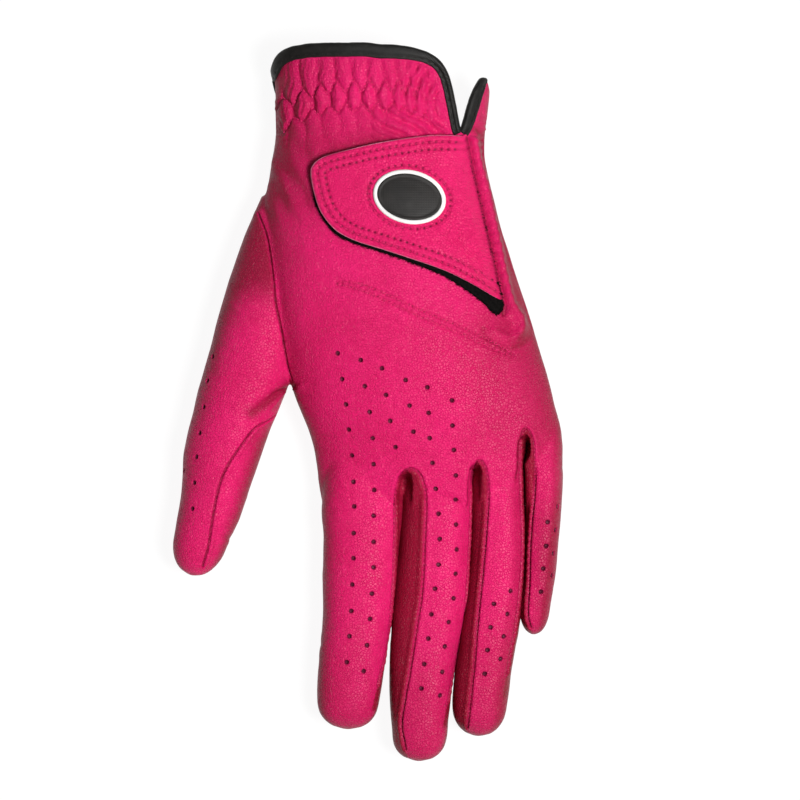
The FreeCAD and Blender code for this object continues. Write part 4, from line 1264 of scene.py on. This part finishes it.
rings = [ring_of(xy, z) for xy, z in zip(plan, (base_z + lift).reshape(R, COUNT))]
rings += [ring_of(plan[-1] + outwards * out, grid_z[-1] - sunk)
          for out, sunk in ((0.10, 0.50), (0.10, 0.78), (-0.05, 0.93))]
rings += [ring_of(plan[k], grid_z[k] - TAB_THICK) for k in (R - 6, R - 16, R - 28, R - 36, R - 44, 2, 0)]
verts, faces = loft(rings)
tab = new_mesh("closure_tab_leather", verts, faces)
total = len(verts)
pit_all, dark_all, cut = np.zeros(total), np.zeros(total), np.zeros(total)
pit_all[:len(pit)] = 0.8 * pit
free_rim = fold_gap.reshape(R, COUNT)[-1] > 1.6
for r, pale in ((R - 1, 0.55), (R, 1.0), (R + 1, 1.0), (R + 2, 1.0)):
    cut[r * COUNT:(r + 1) * COUNT] = free_rim * pale
grooves = sum(bell(gap, 0.4) for gap in (edge_gap - ROW_GAPS[0], edge_gap - ROW_GAPS[1], oval_gap - RING_GAP))
# Stitch grooves darker, and painted shade in the fold.
dark_all[:len(pit)] = np.clip(0.30 * grooves + 0.85 * bell(fold_gap, 0.6), 0, 1)
store(tab, rest=verts * MM, pit=pit_all, cut=cut, dark=dark_all, wall=np.zeros(total), shade=np.zeros(total))
paint(tab, M_TAB)
tab_tree = BVHTree.FromPolygons([Vector(v) for v in verts], faces)
row_out, row_in = [
    capsules(name, stitch_row(row, ROW_PITCH, 1.25, 0.13, -0.12, tab_tree), 0.17)
    for name, row in (("tab_thread_outer", ROWS[0][5:-5]), ("tab_thread_inner", ROWS[1][8:-8]))]
ring_line = np.array([oval_point(w, RING_GAP) for w in np.linspace(0, 2 * np.pi, 300)])
row_ring = capsules("badge_thread", stitch_row(ring_line, 2.0, 1.35, 0.12, -0.12, tab_tree), 0.15)


# Badge: a low domed oval with a raised white rim.
def oval_form(name, profile, sides=160):
    """Rings round the badge: gap beyond the oval, height above the tab."""
    rings = []
    for gap, up in profile:
        ring = []
        for k in range(sides):
            w = 2 * math.pi * k / sides
            if gap <= -7:
                q = BADGE + (oval_point(w, 0) - BADGE) * (0.02 if gap <= -7.3 else 0.3)
            else:
                q = oval_point(w, gap)
            ring.append((q[0], q[1], tab_up(q) + up))
        rings.append(ring)
    return new_mesh(name, *loft(rings))


badge = oval_form("badge_plate", [(-7.4, 0.76), (-7.0, 0.76), (-5.0, 0.72), (-3.0, 0.62), (-1.9, 0.52),
                                  (-1.5, 0.44), (-1.2, 0.48), (-0.9, 0.60), (-0.45, 0.52), (-0.25, 0.35),
                                  (-0.3, -0.2), (-4.0, -0.2), (-7.0, -0.2), (-7.4, -0.2)])
rim_piece = oval_form("badge_edge", [(-0.35, -0.2), (-0.35, 0.55), (-0.2, 0.66), (0.2, 0.74), (0.6, 0.66),
                                     (0.85, 0.42), (0.92, -0.2)])
paint(badge, M_BADGE)
paint(rim_piece, M_RIM)
for piece in (row_out, row_in, row_ring):
    paint(piece, M_THREAD)

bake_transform(tab)
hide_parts("tab_leather")
for piece, node, slot in ((row_out, "tab_stitching_outer", "thread"),
                          (row_in, "tab_stitching_inner", "thread"),
                          (row_ring, "badge_stitching", "thread"), (badge, "badge", "badge_black"),
                          (rim_piece, "badge_rim", "badge_white")):
    if piece in (row_out, row_in):
        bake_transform(piece)
    else:
        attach(piece, "closure_tab")
    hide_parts(node)


# ------------------------------------------------------------------ hook and loop patches
def pile_patch(name, outline, low, high, hairs, hair_length, seed, upward):
    """A slab of pile with short bent fibres standing from its face and its edge."""
    rng = np.random.default_rng(seed)
    outline = np.array(outline)
    middle = outline.mean(0)
    rings = []
    for share, up in ((0.03, high), (0.5, high), (0.8, high), (0.95, high), (1.0, high - 0.15),
                      (1.01, low + 0.1), (1.0, low), (0.5, low), (0.03, low)):
        ring = []
        for q in middle + (outline - middle) * share:
            z, n = height(q[0], q[1])
            jitter = 0.07 * noise.noise(Vector((q[0] * 1.7, q[1] * 1.7, up)))
            ring.append((q[0], q[1], z + (up + jitter) / max(n.z, 0.5)))
        rings.append(ring)
    verts, faces = loft(rings)
    verts = list(verts)
    for _ in range(hairs):
        k = rng.integers(len(outline))
        share = 1.0 - abs(rng.normal(0, 0.02)) if rng.random() < 0.6 else math.sqrt(rng.random())
        ray = outline[k] - middle
        q = middle + ray * share
        z, n = height(q[0], q[1])
        out = ray / np.linalg.norm(ray) if share > 0.9 else rng.normal(0, 0.5, 2)
        root = np.array([q[0], q[1], z + (low + (high - low) * rng.random() * 0.9 + 0.1) / max(n.z, 0.5)])
        length = hair_length * rng.uniform(0.5, 1.0)
        lean = rng.normal(0, 0.45, 3)
        tip = root + np.array([out[0] * 0.75 + lean[0], out[1] * 0.75 + lean[1],
                               (0.5 if upward else -0.5) + 0.4 * lean[2]]) * length
        bent = (root + tip) / 2 + rng.normal(0, 0.15, 3)
        side = np.cross(tip - root, rng.normal(0, 1, 3))
        side /= max(np.linalg.norm(side), 1e-6)
        other = np.cross(tip - root, side)
        other /= max(np.linalg.norm(other), 1e-6)
        faces += loft_faces(3, 3, len(verts))
        for p, r in ((root, 0.08), (bent, 0.065), (tip, 0.02)):
            for w in (0, 2.094, 4.189):
                verts.append(p + r * (math.cos(w) * side + math.sin(w) * other))
    return new_mesh(name, verts, faces)


LOOP_OUT = curve([(-15.2, 68.5), (-14.8, 71.2), (-11.5, 73.4), (2.0, 77.0), (18.0, 79.4), (28.0, 79.6),
                  (31.6, 72.0), (36.5, 52.0), (39.6, 39.0), (41.4, 30.6), (40.4, 27.4), (38.6, 27.2),
                  (35.6, 30.2), (30.0, 34.4), (22.6, 38.9), (12.8, 42.9), (3.8, 46.0), (-3.4, 48.3),
                  (-8.5, 50.6), (-12.0, 53.6), (-15.0, 58.2), (-16.9, 63.4), (-15.2, 68.5)])[:-1]
HOOK_OUT = curve([(-15.0, 69.0), (-13.0, 72.2), (2.0, 76.2), (20.0, 79.0), (25.0, 72.0), (29.0, 56.0),
                  (32.0, 41.0), (33.0, 37.0), (24.0, 40.6), (12.6, 44.6), (3.8, 47.4), (-3.0, 49.6),
                  (-8.0, 52.0), (-12.0, 56.0), (-15.2, 62.0), (-15.0, 69.0)])[:-1]
loop_pile = pile_patch("loop_pile", LOOP_OUT, -0.5, 0.95, 5200, 0.85, 3, True)
hook_pile = pile_patch("hook_pile", HOOK_OUT, 1.1, 1.9, 2600, 0.7, 5, False)
for piece, body, node in ((loop_pile, "hand", "loop_patch"), (hook_pile, "closure_tab", "hook_patch")):
    paint(piece, M_PILE)
    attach(piece, body)
    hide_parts(node)


# ------------------------------------------------------------------ stitches on the hand
ZIG_PITCH, ZIG_SIZE = 1.05, 0.34


def zig_stitches(line):
    """A zigzag of stitches that follows a line."""
    run = running(line)
    normal = left_of(line)
    out, points = [], []
    for k in range(int(run[-1] / ZIG_PITCH)):
        i = min(int(np.searchsorted(run, k * ZIG_PITCH)), len(line) - 1)
        points.append(line[i] + normal[i] * ZIG_SIZE * (1 if k % 2 else -1))
    for a, b in zip(points[:-1], points[1:]):
        m = (a + b) / 2
        out.append((surface_point(a, -0.12), surface_point(m, 0.13), surface_point(b, -0.12),
                    height(m[0], m[1], skin_tree)[1]))
    return out


def beside(line, gap):
    """One side of a lens drawn round a line."""
    share = np.arange(len(line)) / (len(line) - 1)
    taper = np.sqrt(np.clip(1 - (2 * share - 1) ** 6, 0.02, 1))
    return line + left_of(line) * (gap * taper)[:, None]


def wrist_row(zig):
    line = zig[(zig[:, 0] > -26.8) & (zig[:, 0] < 19.0)]
    run = running(line)
    return stitch_row(at_run(line, run, np.arange(0, run[-1], 0.25)), 1.32, 1.02, 0.15, -0.14)


for name, stitches, radius, node in (
        ("knuckle_thread_upper", zig_stitches(beside(KNUCKLE, LENS)), 0.15, "knuckle_stitching_upper"),
        ("knuckle_thread_lower", zig_stitches(beside(KNUCKLE, -LENS)), 0.15, "knuckle_stitching_lower"),
        ("wrist_thread_upper", wrist_row(UPPER_ZIG), 0.17, "wrist_stitching_upper"),
        ("wrist_thread_lower", wrist_row(LOWER_ZIG), 0.17, "wrist_stitching_lower")):
    piece = paint(capsules(name, stitches, radius), M_THREAD)
    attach(piece, "hand")
    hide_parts(node)


def wear_and_painted_shade(piece, co, no):
    """Painted shade: darker towards the thumb and its seam, the left of the wrist, the fingertips and the
    little finger, beside the tab, the thumb fold and the ridge, and on sides that face left, right or down;
    and a painted highlight, a lighter patch, on the thumb.
    """
    x, y = co[:, 0], co[:, 1]
    left = ramp(-no[:, 0], 0.25, 0.85)
    top = no[:, 2] > 0
    seam_x = np.interp(y, THUMB_SEAM[::-1, 1], THUMB_SEAM[::-1, 0])
    thumb_side = ramp(seam_x - x, 0.0, 0.8) * (y < 60)
    # Painted shade on the left of the hand and thumb, on the left of the wrist by the tab, towards the
    # fingertips, over the little finger and the lower right of the hand, and on the thumb's upper wedge.
    shade = np.max([
        0.50 * ramp(-x, 10.0, 34.0) * ramp(y, -12.0, 30.0) * (0.35 + 0.65 * left),
        0.85 * ramp(-x, 2.0, 24.0) * ramp(y, 46.0, 68.0) * (1 - 0.45 * ramp(y, 76.0, 90.0))
        * (0.55 + 0.45 * left),
        0.40 * ramp(-y, 52.0, 104.0),
        0.52 * ramp(x, 47.5, 55.0) * ramp(-y, 16.0, 48.0),
        0.26 * ramp(x, 24.0, 44.0) * ramp(y, -34.0, -4.0) * ramp(-y, -40.0, -22.0),
        0.78 * thumb_side * ramp(y, 24.0, 40.0)], axis=0)
    # A painted highlight: a lighter patch on the thumb.
    shade -= 0.22 * thumb_side * bell(y - 16.0, 10.0) * (x > -46)
    # Painted shade in the thumb fold, on the thumb's right side, beside the tab's top edge and beside the
    # ridge.
    beside_tab = np.exp(-np.abs(to_line(co, TOP_EDGE)[0]) / 3.0)
    shade = np.max([
        shade, 0.7 * bell(to_line(co, THUMB_FOLD)[0], 1.8) * top,
        0.62 * ramp(no[:, 0], 0.35, 0.9) * ramp(-y, 3.0, 13.0) * piece.startswith("thumb"),
        0.80 * beside_tab * ramp(-x, -16.0, -2.0) * top,
        0.42 * bell(to_line(co, RIDGE)[0] - 3.2, 1.5) * top], axis=0)
    # Painted shade on sides that face right, left and down.
    shade = shade + 0.42 * ramp(no[:, 0], 0.10, 0.75) * ramp(x, 22.0, 44.0)
    return np.clip(shade + 0.36 * left + 0.30 * ramp(-no[:, 2], -0.75, -0.15), 0, 0.8)


for piece, obj in SKINS.items():
    co = points_of(obj.data)
    store(obj, shade=wear_and_painted_shade(piece, co, NORMALS[piece]), cut=np.zeros(len(co)))
    paint(obj, M_LEATHER)

NODES = set(frame["nodes"])
for name, data in FINGERS.items():
    o, d = data["o"], data["d"]
    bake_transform(SKINS[name + "_lower_skin"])
    span = 9.0 if data["mid"] > 20 else 8.4
    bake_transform(SKINS[name + "_upper_skin"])
    for length, part in (("_lower_skin", "_base_"), ("_upper_skin", "_tip_")):
        wanted = [n for n in NODES if n.startswith(name + part)]
        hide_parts(*sorted(wanted))
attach(SKINS["hand_skin"], "hand")
HAND_NODES = ("back_panel", "palm_panel", "thumb_root_inner", "thumb_root_outer", "slit_welt")
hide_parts(*sorted(n for n in NODES if n in HAND_NODES
                                        or n.startswith("crotch_gusset")))

# The flesh side of the hand's leather, seen through the cuff.
LEATHER_THICK = 0.8
source = SKINS["hand_skin"].data
co = points_of(source)
inside = [tuple(p.vertices)[::-1] for p in source.polygons
          if co[p.vertices[0], 1] > -4.0 and co[p.vertices[0], 0] > -34.0]
lining, used = part_mesh("hand_lining", co - NORMALS["hand_skin"] * LEATHER_THICK, inside)
paint(lining, M_LINING)
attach(lining, "hand")


def webbing(name, line, half, deep, node):
    """Ribbed elastic webbing that lies under the leather along a line."""
    normal = left_of(line)
    rings = []
    for k, at in enumerate(line):
        rib = 0.10 * math.sin(k * 1.6)
        ring = []
        for side, up in ((-1, rib), (-0.6, rib), (-0.2, rib), (0.2, rib), (0.6, rib), (1, rib),
                         (1, -0.7), (0, -0.7), (-1, -0.7)):
            q = at + normal[k] * side * half
            ring.append(surface_point(q, up - deep, smooth_tree))
        rings.append(ring)
    piece = paint(new_mesh(name, *loft(rings)), M_ELASTIC)
    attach(piece, "hand")
    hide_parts(node)


band = curve([(-24.0, 87.5), (-16.0, 91.6), (-8.0, 93.4), (1.0, 93.8), (9.0, 93.3), (16.0, 91.0)])
webbing("wrist_elastic_webbing", band, 3.2, 2.7, "wrist_elastic")
webbing("knuckle_elastic_webbing", KNUCKLE[6:-6], 0.8, 2.0, "knuckle_elastic")

# ------------------------------------------------------------------ stage, light and camera
FLOOR_Z, FLOOR_HALF = -0.65, 3000
FLOOR_TONE, FLOOR_GLOW = 0.09, 0.93
tone, lighter = [(t, t, t, 1) for t in (FLOOR_TONE, FLOOR_TONE * 1.01)]
corners = ((-1, -1), (1, -1), (1, 1), (-1, 1))
floor = new_mesh("floor", [(x * FLOOR_HALF, y * FLOOR_HALF, FLOOR_Z) for x, y in corners],
                 [(0, 1, 2, 3)], False)
paint(floor, plain("pale_floor", tone, lighter, (6.0, 2.0), None, lambda m, n: (), Roughness=0.9,
                   Specular_IOR_Level=0.1, Emission_Color=(1, 1, 1, 1), Emission_Strength=FLOOR_GLOW))
world = bpy.data.worlds.new("studio")
world.use_nodes = True
world.node_tree.nodes["Background"].inputs["Color"].default_value = (1.0, 1.0, 1.0, 1)
world.node_tree.nodes["Background"].inputs["Strength"].default_value = 0.09
bpy.context.scene.world = world


def area(name, place, size, power):
    """A square soft light that points at the middle of the glove."""
    data = bpy.data.lights.new(name, "AREA")
    data.shape = "RECTANGLE"
    data.size = data.size_y = size
    data.energy = power
    obj = bpy.data.objects.new(name, data)
    bpy.context.scene.collection.objects.link(obj)
    obj.location = place
    obj.rotation_euler = (-Vector(place)).to_track_quat("-Z", "Y").to_euler()


area("key", (0.40, -0.12, 0.94), 0.34, 12.9)
area("fill", (-0.05, 0.60, 0.90), 0.7, 0.8)

camera_data = bpy.data.cameras.new("camera")
camera_data.lens = 200.0
camera_data.sensor_width = 36.0
camera_data.clip_start, camera_data.clip_end = 0.01, 20.0
camera = bpy.data.objects.new("camera", camera_data)
bpy.context.scene.collection.objects.link(camera)
camera.location = (0.00969, 0.0005, 1.392)
camera.rotation_euler = (0.0, 0.0, 0.0)
bpy.context.scene.camera = camera
bpy.context.scene.view_settings.view_transform = "Standard"
bpy.context.scene.view_settings.look = "None"
bpy.context.scene.view_settings.exposure = 0.0
